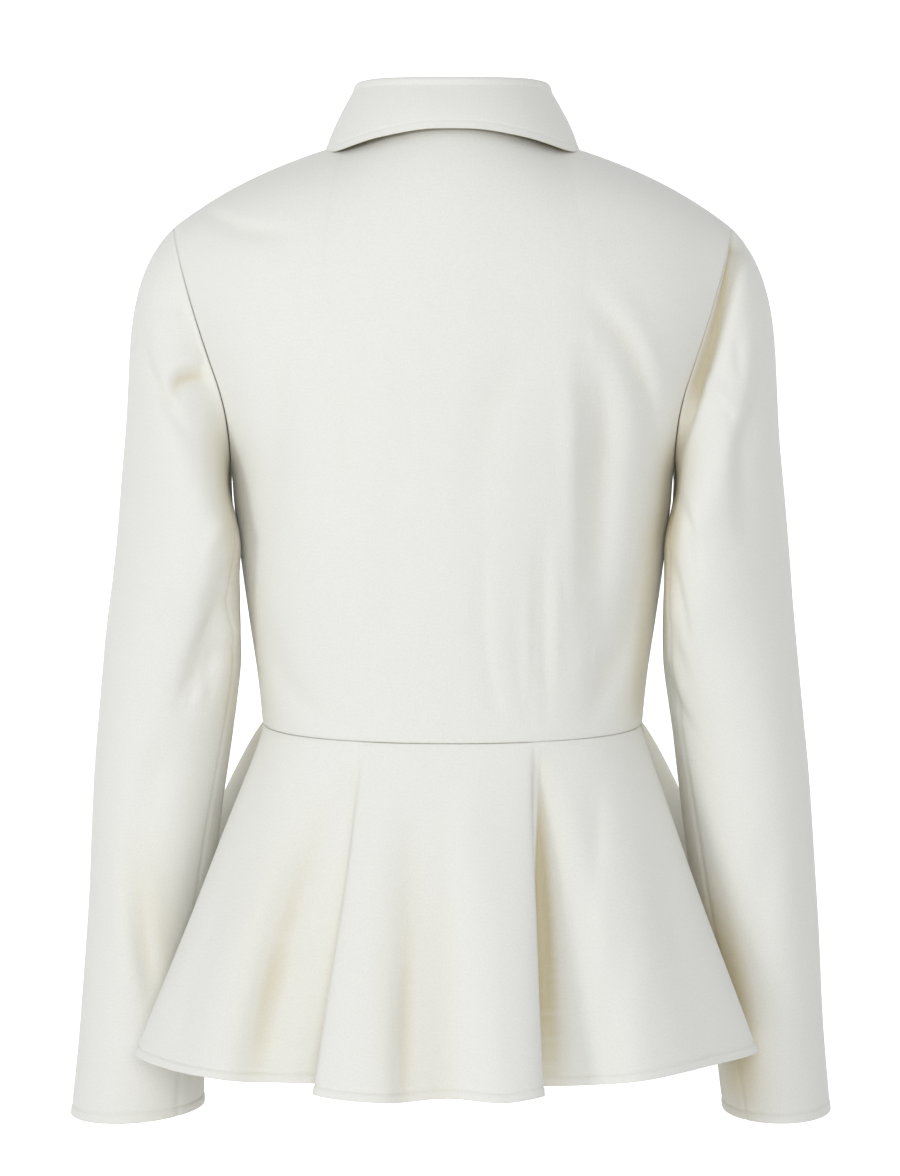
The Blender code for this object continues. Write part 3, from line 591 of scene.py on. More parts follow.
# A thin closed wall from a grid of outer points: the inner grid lies inwards along the normals, and four strips
# close the edges. A ring's last column repeats its first.
def shell(name, outer, facing, finish, thick, isRing=False, addedShade=0.0):
    normals = normalsOf(outer, facing, isRing)
    inner = outer - thick * normals
    # Painted shade: concave places get more, and the added shadow lines are laid on top
    paintedShade = np.clip(hollows(outer, normals, isRing) + addedShade, 0, 1)
    if isRing:
        inner[:, -1] = inner[:, 0]
    across = lengths(outer, 1)
    across = across - across[:, across.shape[1] // 2][:, None]
    down = np.broadcast_to(lengths(outer, 0).mean(1, keepdims=True), across.shape)
    uv = np.stack([across, -down], -1)
    rows, columns = outer.shape[:2]
    stored = columns - 1 if isRing else columns
    index = np.arange(rows * stored).reshape(rows, stored)
    if isRing:
        index = np.concatenate([index, index[:, :1]], 1)
    under = index + rows * stored
    flip = facing < 0

    def quads(grid, isFlipped):
        cells = [grid[:-1, :-1], grid[:-1, 1:], grid[1:, 1:], grid[1:, :-1]]
        if isFlipped:
            cells = cells[::-1]
        return np.stack(cells, 2).reshape(-1, 4, *grid.shape[2:])

    faces = [quads(index, flip), quads(under, not flip)]
    corners = [quads(uv, flip), quads(uv, not flip)]

    def strip(a, b, uvA, isFlipped):
        cells, places = [a[:-1], a[1:], b[1:], b[:-1]], [uvA[:-1], uvA[1:], uvA[1:], uvA[:-1]]
        if isFlipped:
            cells, places = cells[::-1], places[::-1]
        faces.append(np.stack(cells, 1))
        corners.append(np.stack(places, 1))

    strip(index[0], under[0], uv[0], not flip)
    strip(index[-1], under[-1], uv[-1], flip)
    if not isRing:
        strip(index[:, 0], under[:, 0], uv[:, 0], flip)
        strip(index[:, -1], under[:, -1], uv[:, -1], not flip)
    points = np.concatenate([outer[:, :stored].reshape(-1, 3), inner[:, :stored].reshape(-1, 3)])
    made = meshObject(name, points, np.concatenate(faces), finish, np.concatenate(corners))
    # The inner faces get painted shade at the given strength
    paintedShade = np.concatenate([paintedShade[:, :stored].ravel(), np.ones(rows * stored) * cloth["insidePaintedShade"]])
    layer = made.data.attributes.new("paintedShade", "FLOAT", "POINT")
    layer.data.foreach_set("value", paintedShade.astype(np.float32))
    return made, normals


stitchShape = {"long": 7, "wide": 4, "ahead": 0.0008, "sunk": 0.00008, "slim": 0.35}


# A row of short raised stitches along a line of points. Each is a low hump, long along the seam, whose outline is a
# rounded bar and whose top is a flat arch.
def stitches(name, points, normals, pitch=0.0026, length=0.0019, width=0.00042, height=0.00022):
    run = lengths(points[None], 1)[0]
    places = np.arange(pitch, run[-1] - pitch, pitch)
    at = np.stack([np.interp(places, run, points[:, i]) for i in range(3)], -1)
    up = unit(np.stack([np.interp(places, run, normals[:, i]) for i in range(3)], -1))
    ahead = np.stack([np.interp(places + stitchShape["ahead"], run, points[:, i]) for i in range(3)], -1)
    along = unit(ahead - at)
    across = np.cross(up, along)
    s = np.linspace(-1, 1, stitchShape["long"])
    t = np.array([-1.0, -0.5, 0.5, 1.0])
    bulge = np.sqrt(np.clip(1 - s**4, 0, 1))
    slim = stitchShape["slim"]
    local = np.stack(
        np.broadcast_arrays(
            s[:, None] * length / 2,
            t[None, :] * width / 2 * (slim + (1 - slim) * bulge[:, None]),
            height * bulge[:, None] * (1 - t[None, :] ** 4) - stitchShape["sunk"],
        ),
        -1,
    )
    places = (
        at[:, None, None]
        + local[None, ..., 0:1] * along[:, None, None]
        + local[None, ..., 1:2] * across[:, None, None]
        + local[None, ..., 2:3] * up[:, None, None]
    )
    count = stitchShape["long"] * stitchShape["wide"]
    cells = np.arange(count).reshape(stitchShape["long"], stitchShape["wide"])
    quad = np.stack([cells[:-1, :-1], cells[1:, :-1], cells[1:, 1:], cells[:-1, 1:]], -1).reshape(-1, 4)
    faces = (quad[None] + count * np.arange(len(at))[:, None, None]).reshape(-1, 4)
    return meshObject(name, places.reshape(-1, 3), faces, threadFinish)


def rowAt(points, normals, distance, fromLast=True):  # a line beside the grid's last or first row
    if fromLast:
        points, normals = points[::-1], normals[::-1]
    down = lengths(points, 0)
    line, ups = [], []
    for column in range(points.shape[1]):
        line.append([np.interp(distance, down[:, column], points[:, column, i]) for i in range(3)])
        ups.append([np.interp(distance, down[:, column], normals[:, column, i]) for i in range(3)])
    return np.array(line), unit(np.array(ups))


def columnAt(points, normals, distance, fromLast=False):
    return rowAt(points.transpose(1, 0, 2), normals.transpose(1, 0, 2), distance, fromLast)


def keep(piece, node):
    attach(piece, "root")
    if node:
        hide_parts(node)


def rowsToV(*stops):  # evenly spaced v between the given stops: (v, count) pairs
    parts = [np.array([stops[0][0]])]
    for (a, _), (b, count) in zip(stops[:-1], stops[1:]):
        parts.append(np.linspace(a, b, count + 1)[1:])
    return np.concatenate(parts)


# The back: one panel with a dart on each side, drag lines from the armholes and soft upright folds
back = {
    "columns": 210,
    "creases": [
        # line through places in x and z, depth, width, lean
        ([(0.103, -0.118), (0.115, -0.148), (0.119, -0.19), (0.122, -0.26)], -0.0026, 0.012, 0.0),
        ([(0.08, -0.14), (0.076, -0.175), (0.074, -0.23)], -0.0014, 0.009, 0.0),
        ([(0.045, -0.18), (0.04, -0.26), (0.046, -0.34)], -0.001, 0.014, 0.0),
        ([(-0.09, -0.095), (-0.11, -0.117), (-0.121, -0.133), (-0.13, -0.156), (-0.138, -0.19)],
         -0.0038, 0.008, 0.25),
        ([(-0.102, -0.085), (-0.122, -0.115), (-0.136, -0.15)], 0.0016, 0.009, 0.0),
        ([(-0.094, -0.138), (-0.102, -0.18), (-0.099, -0.225), (-0.096, -0.32)], -0.0066, 0.014, 0.25),
        ([(-0.076, -0.13), (-0.079, -0.2), (-0.08, -0.3)], 0.002, 0.008, 0.0),
        ([(-0.122, -0.19), (-0.121, -0.24), (-0.12, -0.3)], 0.0014, 0.014, 0.0),
        ([(-0.06, -0.122), (-0.03, -0.152), (-0.018, -0.205), (-0.016, -0.27)], -0.0018, 0.014, 0.0),
        ([(-0.061, -0.245), (-0.061, -0.321), (-0.064, -0.374)], -0.0016, 0.0055, 0.3),
        ([(-0.069, -0.262), (-0.07, -0.31), (-0.07, -0.35)], 0.0006, 0.003, 0.0),
        ([(-0.023, -0.25), (-0.021, -0.32), (-0.032, -0.378)], -0.0014, 0.007, 0.25),
        ([(-0.042, -0.3), (-0.044, -0.34), (-0.05, -0.378)], -0.0008, 0.005, 0.0),
        ([(-0.126, -0.28), (-0.118, -0.331), (-0.1, -0.368)], -0.0032, 0.009, 0.2),
        ([(-0.108, -0.29), (-0.104, -0.34), (-0.094, -0.382)], -0.003, 0.012, 0.0),
        ([(0.128, -0.312), (0.112, -0.355), (0.08, -0.38)], -0.0018, 0.009, 0.0),
        ([(0.06, -0.12), (0.055, -0.2), (0.06, -0.29)], 0.001, 0.016, 0.0),
        ([(0.168, -0.04), (0.14, -0.05), (0.11, -0.052)], -0.0026, 0.0065, 0.3),
        ([(-0.15, -0.04), (-0.12, -0.052), (-0.095, -0.058)], -0.0014, 0.008, 0.0),
    ],
    # Painted shade along both sides near the waist and below the right armhole: line, amount, width, lean
    "shade": [
        ([(-0.135, -0.25), (-0.131, -0.31), (-0.127, -0.37), (-0.126, -0.392)], 0.7, 0.01, 0.0),
        ([(0.137, -0.27), (0.133, -0.33), (0.13, -0.392)], 0.35, 0.007, 0.0),
        ([(-0.147, -0.19), (-0.144, -0.23), (-0.141, -0.27)], 0.6, 0.007, 0.0),
    ],
    "darts": [
        ([(0.065, -0.391), (0.068, -0.321), (0.071, -0.254)], -0.0006, 0.0016, 0.0),
        ([(-0.053, -0.391), (-0.054, -0.321), (-0.055, -0.254)], -0.0006, 0.0016, 0.0),
    ],
}


bodiceRows = ((0, 0), (0.03, 6), (1, 56), (2, 36), (3, 64))


def backGrid():
    u, v = np.meshgrid(np.linspace(-1, 1, back["columns"] + 1), rowsToV(*bodiceRows))
    half = bodice(np.abs(u), v, False)
    return half * np.stack([np.sign(u), 1 + 0 * u, 1 + 0 * u], -1)


points = backGrid()
normals = normalsOf(points, -1)
down, up, left, right = edges(points)
weight = ease(normals[..., 1] * 2.5 + 0.15)
shift = crease(points, weight, back["creases"]) + crease(points, weight, back["darts"])
shift = shift + 0.0005 * ripple(points[..., 0], points[..., 2] * 0.35, 0.09, 3) * weight
shift = shift * ease(np.minimum(left, right) / 0.02) * ease(up / 0.02) * ease((down + 0.004) / 0.02)
shift = shift + seamDip(down, "seam") + seamDip(left, "armhole") + seamDip(right, "armhole")
points = points + shift[..., None] * normals
# Painted shade from the lines above
addedShade = crease(points, weight, back["shade"])
backPiece = shell("shirtBack", points, -1, clothFinish, cloth["thick"], False, addedShade)[0]
keep(backPiece, "back")
print("back made")

# The fronts: plain panels that button on the centre line, the right one over the left
front = {
    "columns": 110,
    "creases": [
        ([(0.1, -0.11), (0.118, -0.15), (0.128, -0.2)], -0.002, 0.008, 0.2),
        ([(0.14, -0.23), (0.115, -0.262), (0.085, -0.27)], -0.0018, 0.009, 0.0),
        ([(0.08, -0.18), (0.072, -0.24), (0.07, -0.3)], 0.0012, 0.017, 0.0),
        ([(0.06, -0.29), (0.055, -0.33), (0.056, -0.38)], -0.001, 0.007, 0.2),
        ([(0.11, -0.3), (0.102, -0.345), (0.096, -0.382)], -0.0014, 0.009, 0.0),
        ([(0.03, -0.1), (0.04, -0.15), (0.036, -0.2)], -0.0009, 0.01, 0.0),
        ([(0.16, -0.05), (0.13, -0.066), (0.105, -0.07)], -0.0012, 0.007, 0.0),
    ],
}
fronts = {}
for side, name, node in ((1.0, "shirtFrontLeft", "front_left"), (-1.0, "shirtFrontRight", "front_right")):
    u, v = np.meshgrid(np.linspace(0, 1, front["columns"] + 1), rowsToV(*bodiceRows))
    points = bodice(u, v, True)
    normals = normalsOf(points, 1)
    weight = ease(-normals[..., 1] * 2.5 + 0.15)
    down, up, left, right = edges(points)
    shift = crease(points, weight, front["creases"]) * (1.0 if side > 0 else 0.8)
    shift = shift + 0.0005 * ripple(points[..., 0] + 0.2 * side, points[..., 2] * 0.35, 0.09, 5) * weight
    shift = shift * ease(right / 0.02) * ease(up / 0.02) * ease((down + 0.004) / 0.02)
    shift = shift * ease((left - 0.012) / 0.02)
    shift = shift + seamDip(down, "seam") + seamDip(right, "side")
    shift = shift + groove(left - 0.0245, 0.0003, 0.0012)
    points = (points + shift[..., None] * normals) * np.array([side, 1, 1])
    points = points if side > 0 else lifted(points, points[..., 0])
    piece, normals = shell(name, points, side, clothFinish, cloth["thick"])
    keep(piece, node)
    fronts[node] = (points, normals)
    for number, distance in enumerate((0.0025, 0.0245)):
        line, ups = columnAt(points, normals, distance)
        keep(stitches(f"{name}Stitches{number + 1}", line, ups), None)
print("fronts made")

# The sleeves: the cap stands a little away from the armhole, and the elbow breaks on the inner side
sleeves = {
    "sleeve_left": {
        "name": "shirtSleeveLeft",
        "side": 1.0,
        "rows": sleeveLeftRows,
        "capTrough": 0.0006,
        # Painted shade: below the crease by the armhole, down the inner side beside the body, and on the forearm
        # beside the peplum
        "shade": [
            ([(0.19, -0.164), (0.18, -0.152), (0.162, -0.149)], 0.22, 0.0065, 0.0),
            ([(0.16, -0.17), (0.153, -0.21), (0.147, -0.26), (0.148, -0.34)], 0.65, 0.009, 0.0),
            ([(0.148, -0.33), (0.152, -0.37), (0.158, -0.42)], 0.45, 0.007, 0.0),
            ([(0.211, -0.47), (0.202, -0.53), (0.192, -0.61)], 0.4, 0.017, 0.0),
        ],
        "back": [
            ([(0.188, -0.16), (0.18, -0.15), (0.16, -0.148)], -0.004, 0.006, 0.0),
            ([(0.19, -0.145), (0.178, -0.139), (0.162, -0.138)], 0.0014, 0.007, 0.0),
            ([(0.215, -0.11), (0.206, -0.139), (0.193, -0.164), (0.176, -0.186)], -0.0022, 0.0052, 0.0),
            ([(0.2, -0.103), (0.184, -0.102), (0.168, -0.102)], -0.0008, 0.006, 0.0),
            ([(0.149, -0.24), (0.158, -0.254), (0.166, -0.272)], 0.0018, 0.006, 0.0),
            ([(0.144, -0.27), (0.155, -0.29), (0.17, -0.312)], -0.002, 0.008, 0.0),
            ([(0.143, -0.288), (0.16, -0.322), (0.181, -0.374)], -0.0062, 0.0095, 0.0),
            ([(0.148, -0.329), (0.159, -0.346), (0.166, -0.372)], -0.0034, 0.0055, 0.0),
            ([(0.143, -0.318), (0.153, -0.338), (0.17, -0.372)], 0.0014, 0.005, 0.0),
            ([(0.195, -0.398), (0.206, -0.432), (0.216, -0.48)], -0.0022, 0.013, 0.0),
            ([(0.22, -0.48), (0.214, -0.534), (0.207, -0.575)], -0.0036, 0.0075, 0.0),
            ([(0.232, -0.47), (0.228, -0.53), (0.226, -0.59)], 0.001, 0.012, 0.0),
        ],
        "front": [
            ([(0.205, -0.1), (0.19, -0.14), (0.17, -0.17)], -0.0024, 0.006, 0.0),
            ([(0.146, -0.285), (0.175, -0.305), (0.205, -0.31)], -0.003, 0.008, 0.0),
            ([(0.148, -0.33), (0.178, -0.345), (0.21, -0.34)], -0.0026, 0.007, 0.0),
            ([(0.15, -0.37), (0.18, -0.38), (0.205, -0.372)], -0.002, 0.007, 0.0),
            ([(0.205, -0.42), (0.213, -0.48), (0.218, -0.56)], -0.0018, 0.012, 0.0),
        ],
    },
    "sleeve_right": {
        "name": "shirtSleeveRight",
        "side": -1.0,
        "rows": sleeveRightRows,
        "capTrough": 0.0105,
        # Painted shade: the peplum's cast shadow on the lower sleeve, and down the inner side beside the body
        "shade": [
            ([(0.176, -0.5), (0.189, -0.56), (0.198, -0.62), (0.201, -0.668)], 1.1, 0.015, 0.0),
            ([(0.156, -0.18), (0.149, -0.215), (0.145, -0.26), (0.145, -0.33)], 1.00, 0.008, 0.0),
        ],
        "back": [
            ([(0.166, -0.15), (0.177, -0.161), (0.184, -0.174)], 0.0018, 0.0055, 0.0),
            ([(0.17, -0.16), (0.181, -0.17), (0.188, -0.182)], -0.0016, 0.0045, 0.0),
            ([(0.212, -0.13), (0.209, -0.161), (0.199, -0.185), (0.195, -0.207), (0.197, -0.25)],
             -0.0034, 0.0085, 0.0),
            ([(0.151, -0.228), (0.158, -0.25), (0.165, -0.275)], -0.0018, 0.0032, 0.0),
            ([(0.146, -0.268), (0.152, -0.298), (0.158, -0.326)], -0.0018, 0.0034, 0.0),
            ([(0.143, -0.345), (0.149, -0.367), (0.162, -0.392)], -0.002, 0.0036, 0.0),
            ([(0.146, -0.315), (0.151, -0.336), (0.16, -0.36)], -0.0012, 0.004, 0.0),
            ([(0.19, -0.122), (0.191, -0.136), (0.192, -0.15)], -0.001, 0.004, 0.0),
            ([(0.216, -0.466), (0.21, -0.508), (0.205, -0.55)], -0.0014, 0.012, 0.0),
            ([(0.232, -0.25), (0.238, -0.33), (0.242, -0.4)], -0.0014, 0.01, 0.0),
        ],
        "front": [
            ([(0.205, -0.1), (0.19, -0.14), (0.17, -0.17)], -0.002, 0.0065, 0.0),
            ([(0.146, -0.29), (0.172, -0.312), (0.205, -0.318)], -0.0032, 0.008, 0.0),
            ([(0.148, -0.338), (0.178, -0.352), (0.206, -0.35)], -0.0024, 0.007, 0.0),
            ([(0.206, -0.43), (0.215, -0.49), (0.222, -0.56)], -0.0018, 0.012, 0.0),
        ],
    },
}
for node, spec in sleeves.items():
    u, v = np.meshgrid(np.linspace(0, 1, 151), rowsToV((0, 0), (0.1, 10), (1, 46), (7.84, 134), (8, 16)))
    points = sleeve(spec["rows"], u, v)
    points[:, -1] = points[:, 0]
    normals = normalsOf(points, -1, True)
    down, up, left, right = edges(points)
    besides = 1 - np.exp(-(((u - 0.5) / 0.09) ** 2)) * ease((0.35 - down) / 0.1)
    shift = 1.5 * crease(points, ease(normals[..., 1] * 2.5 + 0.3), spec["back"])
    shift = shift + 1.5 * crease(points, ease(-normals[..., 1] * 2.5 + 0.3), spec["front"])
    wave = ripple(u * 0.3, points[..., 2] * 0.6, 0.11, 11 if spec["side"] > 0 else 12)
    shift = shift + 0.0008 * wave * ease(down / 0.05) * besides
    atBack = ease(u / 0.05) * ease((0.4 - u) / 0.12)
    trough = spec["capTrough"] * atBack * np.exp(-(((down - 0.0075) / 0.0085) ** 2)) * ease(down / 0.0045)
    shift = shift * ease(down / 0.012) - trough
    seam = 0.455 - 0.095 * ease(down / 0.55)
    shift = shift + seamDip(down, "armhole") + groove((u - seam) * 0.25, 0.001, 0.0013)
    shift = shift + hemShift(up)
    points = (points + shift[..., None] * normals) * np.array([spec["side"], 1, 1])
    points[:, -1] = points[:, 0]
    # Painted shade in the trough beside the armhole seam on the back, and along the shade lines
    addedShade = 62 * spec["capTrough"] * atBack * np.exp(-(((down - 0.004) / 0.0095) ** 2))
    unmirrored = points * np.array([spec["side"], 1, 1])
    addedShade = addedShade + crease(unmirrored, ease(normals[..., 1] * 2.5 + 0.8), spec["shade"])
    piece, normals = shell(spec["name"], points, -spec["side"], clothFinish, cloth["thick"], True, addedShade)
    keep(piece, node)
    line, ups = rowAt(points, normals, cloth["hem"])
    keep(stitches(spec["name"] + "Stitches", line, ups), None)
print("sleeves made")

# The peplum: cut as part of a ring, so it falls in flutes
peplumFolds = [
    ([(0.078, -0.412), (0.098, -0.47), (0.119, -0.535), (0.136, -0.625)], -0.005, 0.012, 0.0),
    ([(0.112, -0.52), (0.124, -0.565), (0.134, -0.64)], -0.006, 0.019, 0.0),
    ([(0.03, -0.425), (0.029, -0.48), (0.03, -0.54), (0.032, -0.64)], -0.0046, 0.012, 0.0),
    ([(0.03, -0.53), (0.031, -0.58), (0.03, -0.65)], -0.0026, 0.009, 0.2),
    ([(-0.008, -0.43), (-0.01, -0.5), (-0.014, -0.64)], 0.004, 0.015, 0.0),
    ([(-0.099, -0.415), (-0.096, -0.46), (-0.088, -0.535)], -0.002, 0.0095, 0.2),
    ([(-0.071, -0.415), (-0.09, -0.48), (-0.11, -0.562)], 0.0022, 0.011, 0.0),
    ([(-0.112, -0.52), (-0.108, -0.56), (-0.1, -0.62)], -0.002, 0.012, 0.0),
    ([(0.15, -0.48), (0.17, -0.54), (0.186, -0.61)], -0.0016, 0.01, 0.0),
]
# Painted shade in the broad valleys of the left flank and of the middle flute
peplumShade = [
    ([(0.1, -0.45), (0.118, -0.54), (0.13, -0.63)], 0.34, 0.024, 0.0),
    ([(0.03, -0.47), (0.031, -0.56), (0.03, -0.64)], 0.34, 0.019, 0.0),
]
tuck = [(-0.048, -0.402), (-0.053, -0.452), (-0.059, -0.52), (-0.067, -0.625)]
u, v = np.meshgrid(np.linspace(0, 1, 341), rowsToV((0, 0), (0.02, 5), (0.955, 62), (1, 16)))
points = peplum(peplumBackRows, u, v)
hemShares = hemPlaces(peplumBackRows)[1]
pastTuck = ease((u - hemShares[12]) / 0.01)
roundSide = ease((u - hemShares[16]) / 0.03)
normals = normalsOf(points, -1)
down, up, left, right = edges(points)
shift = 0.001 * ripple(u * 0.9, v * 0.12, 0.1, 21) * ease(down / 0.05)
shift = shift + crease(points, ease(down / 0.02), peplumFolds)
shift = shift + crease(points, pastTuck * ease(down / 0.02), [(tuck, -0.005, 0.009, 0.0)])
# Painted shade: in the valleys, in the tuck's shadow beside the middle flute, and on the right side past its corner
addedShade = crease(points, 1.0, peplumShade) + crease(points, pastTuck, [(tuck, 1.0, 0.012, 0.0)])
addedShade = addedShade + 0.7 * roundSide
shift = shift + seamDip(down, "waist") + seamDip(left, "side") + seamDip(right, "side")
shift = shift + hemShift(up)
points = points + shift[..., None] * normals
piece, normals = shell("shirtPeplumBack", points, -1, clothFinish, cloth["thick"], False, addedShade)
keep(piece, "peplum_back")
line, ups = rowAt(points, normals, cloth["hem"])
keep(stitches("peplumBackStitches", line, ups), None)
peplumFronts = (
    (1.0, "shirtPeplumFrontLeft", "peplum_front_left"),
    (-1.0, "shirtPeplumFrontRight", "peplum_front_right"),
)
for side, name, node in peplumFronts:
    rows = withOverlap(peplumFrontRows, side)
    u, v = np.meshgrid(np.linspace(0, 1, 161), rowsToV((0, 0), (0.02, 5), (0.955, 58), (1, 16)))
    points = peplum(rows, u, v) * np.array([side, 1, 1])
    points = points if side > 0 else lifted(points, points[..., 0])
    normals = normalsOf(points, side)
    down, up, left, right = edges(points)
    shift = 0.001 * ripple(u * 0.45, v * 0.12, 0.1, 22) * ease(down / 0.05) * ease((right - 0.01) / 0.04)
    shift = shift + seamDip(down, "waist") + seamDip(left, "side")
    shift = shift + hemShift(up)
    points = points + shift[..., None] * normals
    # Painted shade near the side seam, where the front shows in shadow between sleeve and back
    addedShade = (0.5 if side > 0 else 0.3) * ease(1 - left / 0.06)
    piece, normals = shell(name, points, side, clothFinish, cloth["thick"], False, addedShade)
    keep(piece, node)
    fronts[node] = (points, normals)
    line, ups = rowAt(points, normals, cloth["hem"])
    keep(stitches(name + "Stitches1", line, ups), None)
    line, ups = columnAt(points, normals, 0.0025, True)
    keep(stitches(name + "Stitches2", line, ups), None)
print("peplum made")

# The collar: a stand round the neck and a fall that rolls over it and lies down to its points
past = math.pi + math.asin(overlap / neckWidth)
angle = np.linspace(-past, past, 241)
low, high = neckline(angle), foldLine(angle)
share = np.linspace(0, 1, 21)[:, None, None]
points = low + (high - low) * share
across = np.broadcast_to(low[:, 0], points.shape[:2])
points = np.where((angle < -math.pi / 2)[None, :, None], lifted(points, across), points)
normals = normalsOf(points, -1)
points = points + seamDip(lengths(points, 0), "seam")[..., None] * normals
piece, normals = shell("shirtCollarStand", points, -1, collarFinish, cloth["collarThick"])
keep(piece, "collar_stand")
fronts["collar_stand"] = (points, normals)

end = math.radians(fallEnd)
angle = np.linspace(-end, end, 301)
fold = foldLine(angle)
outward = unit(np.stack([np.sin(angle), np.cos(angle), 0 * angle], -1))
knots, fine = np.linspace(0, 1, len(rollRows["out"])), np.linspace(0, 1, 21)
out, rise = smooth(knots, rollRows["out"], fine), smooth(knots, rollRows["up"], fine)
roll = fold[None] + outward[None] * out[:, None, None] + np.array([0, 0, 1.0]) * rise[:, None, None]
degrees = np.degrees(np.abs(angle))
edge = np.stack([smooth(collarRows["angle"], collarRows[name], degrees) for name in "xyz"], -1)
edge[:, 0] *= np.sign(angle)
share = np.linspace(0, 1, 57)[1:, None, None]
bend = 0.0016 * np.sin(math.pi * share) * outward[None]  # the fall bows out a little between roll and edge
points = np.concatenate([roll, roll[-1] + (edge - roll[-1]) * share + bend])
across = np.broadcast_to(neckline(angle)[:, 0], points.shape[:2])
points = np.where((angle < -math.pi / 2)[None, :, None], lifted(points, across), points)
normals = normalsOf(points, 1)
down, up, left, right = edges(points)
wave = ripple(across * 0.5 + left * 0.5, down, 0.07, 31)
shift = groove(up - 0.0055, 0.0003, 0.001) + 0.0004 * wave * ease(down / 0.02)
points = points + shift[..., None] * normals
piece, normals = shell("shirtCollarFall", points, 1, collarFinish, cloth["collarThick"])
keep(piece, "collar_fall")
line, ups = rowAt(points, normals, 0.0055)
keep(stitches("collarStitches", line, ups), None)
print("collar made")

# Buttons: turned discs with a rim and a sunken middle, crossed by two threads
buttonShape = {
    "profile": [(0.0, -0.001), (0.0046, -0.001), (0.0054, -0.0006), (0.0055, 0.0002), (0.0051, 0.0009),
                (0.0045, 0.0011), (0.0039, 0.0008), (0.0033, 0.0004), (0.0, 0.0003)],
    "sides": 40,
    "thread": (0.0011, 0.002, 0.0005, 0.00035),  # pitch, length, width and height
}


def addButton(number):
    node = f"button_{number}"
    low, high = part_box(node)
    centre = (np.array(low) + np.array(high)) / 2
    grids = [fronts[name] for name in ("front_right", "peplum_front_right", "collar_stand")]
    best = min(((np.linalg.norm(p - centre, axis=-1).min(), i) for i, (p, n) in enumerate(grids)))[1]
    p, n = grids[best]
    up = n[np.unravel_index(np.linalg.norm(p - centre, axis=-1).argmin(), p.shape[:2])]
    side = unit(np.cross(np.array([0, 0, 1.0]), up))
    top = np.cross(up, side)
    profile = np.array(buttonShape["profile"])
    turn = np.linspace(0, 2 * math.pi, buttonShape["sides"], endpoint=False)
    radius, height = profile[:, 0][:, None], profile[:, 1][:, None] + 0 * turn
    a, b = radius * np.cos(turn), radius * np.sin(turn)
    world = centre + a[..., None] * side + b[..., None] * top + height[..., None] * up
    index = np.arange(world.shape[0] * world.shape[1]).reshape(world.shape[:2])
    index = np.concatenate([index, index[:, :1]], 1)
    quads = np.stack([index[:-1, :-1], index[:-1, 1:], index[1:, 1:], index[1:, :-1]], 2).reshape(-1, 4)
    made = meshObject(f"shirtButton{number}", world.reshape(-1, 3), quads, buttonFinish)
    keep(made, node)
    ends = [(s * 0.0011, t * 0.0011) for s, t in ((-1, -1), (1, 1), (-1, 1), (1, -1))]
    for k in range(2):
        (x0, y0), (x1, y1) = ends[2 * k], ends[2 * k + 1]
        s = np.linspace(-0.9, 1.9, 16)
        line = centre + (x0 + (x1 - x0) * s)[:, None] * side * 0.9
        line = line + (y0 + (y1 - y0) * s)[:, None] * top * 0.9
        line = line + up * (0.0004 + 0.0002 * k)
        ups = np.tile(up, (16, 1))
        keep(stitches(f"buttonThread{number}{'ab'[k]}", line, ups, *buttonShape["thread"]), None)


for number in range(1, 9):
    addButton(number)
print("buttons made")

# Floor, light and camera: the floor sweeps up behind the shirt as a studio's paper does, and glows there
stage = {
    "height": -1.15,
    "halfWidth": 12.0,
    "near": 9.0,
    "far": -6.0,
    "sweep": 2.5,
    "wall": 6.0,
    "glow": 0.85,
}


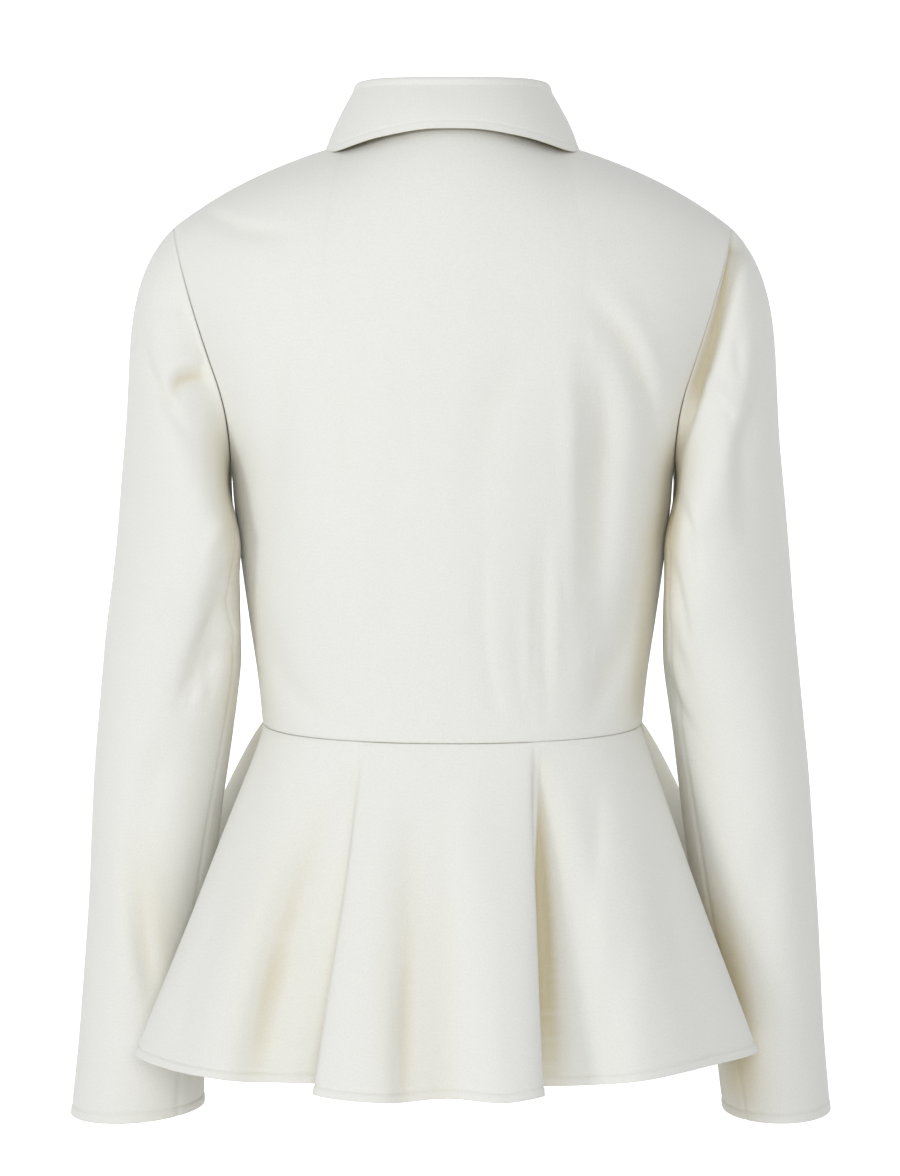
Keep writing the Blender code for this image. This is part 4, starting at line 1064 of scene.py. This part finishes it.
def addStage():
    turn = np.linspace(0, math.pi / 2, 24)
    flat = np.linspace(stage["near"], stage["far"], 40)
    y = np.concatenate([flat, stage["far"] - stage["sweep"] * np.sin(turn[1:])])
    z = np.concatenate([np.zeros(40), stage["sweep"] * (1 - np.cos(turn[1:]))])
    y, z = np.append(y, y[-1]), np.append(z, z[-1] + stage["wall"])
    x = np.linspace(-stage["halfWidth"], stage["halfWidth"], 2)
    z = z + stage["height"]
    grid = np.stack([np.tile(x, (len(y), 1)), np.tile(y[:, None], 2), np.tile(z[:, None], 2)], -1)
    index = np.arange(2 * len(y)).reshape(-1, 2)
    quads = np.stack([index[:-1, 0], index[:-1, 1], index[1:, 1], index[1:, 0]], -1)
    made, nodes, links, shader = nodeMaterial("palePaper")
    made.cycles.emission_sampling = "NONE"
    shader.inputs["Base Color"].default_value = (0.8, 0.8, 0.8, 1)
    shader.inputs["Roughness"].default_value = 0.95
    shader.inputs["Specular IOR Level"].default_value = 0.0
    shader.inputs["Emission Color"].default_value = (1, 1, 1, 1)
    place = nodes.new("ShaderNodeTexCoord")
    parts = nodes.new("ShaderNodeSeparateXYZ")
    glow = nodes.new("ShaderNodeMapRange")
    links.new(place.outputs["Object"], parts.inputs[0])
    links.new(parts.outputs["Y"], glow.inputs["Value"])
    glow.inputs["From Min"].default_value, glow.inputs["From Max"].default_value = -0.2, -1.6
    glow.inputs["To Min"].default_value, glow.inputs["To Max"].default_value = 0.0, stage["glow"]
    links.new(glow.outputs[0], shader.inputs["Emission Strength"])
    meshObject("studioFloor", grid.reshape(-1, 3), quads, made)


addStage()

world = bpy.data.worlds.new("studio")
world.use_nodes = True
world.node_tree.nodes["Background"].inputs[0].default_value = (0.955, 0.98, 1.02, 1)
world.node_tree.nodes["Background"].inputs[1].default_value = 0.545
bpy.context.scene.world = world


def areaLight(name, place, target, size, power, colour):
    data = bpy.data.lights.new(name, "AREA")
    data.shape, data.size, data.energy, data.color = "DISK", size, power, colour
    made = bpy.data.objects.new(name, data)
    made.location = place
    made.rotation_euler = (Vector(target) - Vector(place)).to_track_quat("-Z", "Y").to_euler()
    bpy.context.scene.collection.objects.link(made)


areaLight("key", (2.72, 2.45, 0.55), (0, 0, -0.3), 0.8, 28, (0.97, 0.985, 1.0))
areaLight("front", (-0.2, 4.2, 0.6), (0, 0, -0.3), 1.6, 51, (0.98, 0.985, 1.0))

cameraData = bpy.data.cameras.new("camera")
cameraData.sensor_width, cameraData.lens = 36.0, 134.07
camera = bpy.data.objects.new("camera", cameraData)
camera.location = (0.0017, 2.9776, 0.067)
camera.rotation_euler = (Vector((0.0017, 0, -0.2986)) - camera.location).to_track_quat("-Z", "Y").to_euler()
bpy.context.scene.collection.objects.link(camera)
bpy.context.scene.camera = camera
bpy.context.scene.view_settings.view_transform = "Standard"
print("stage made")
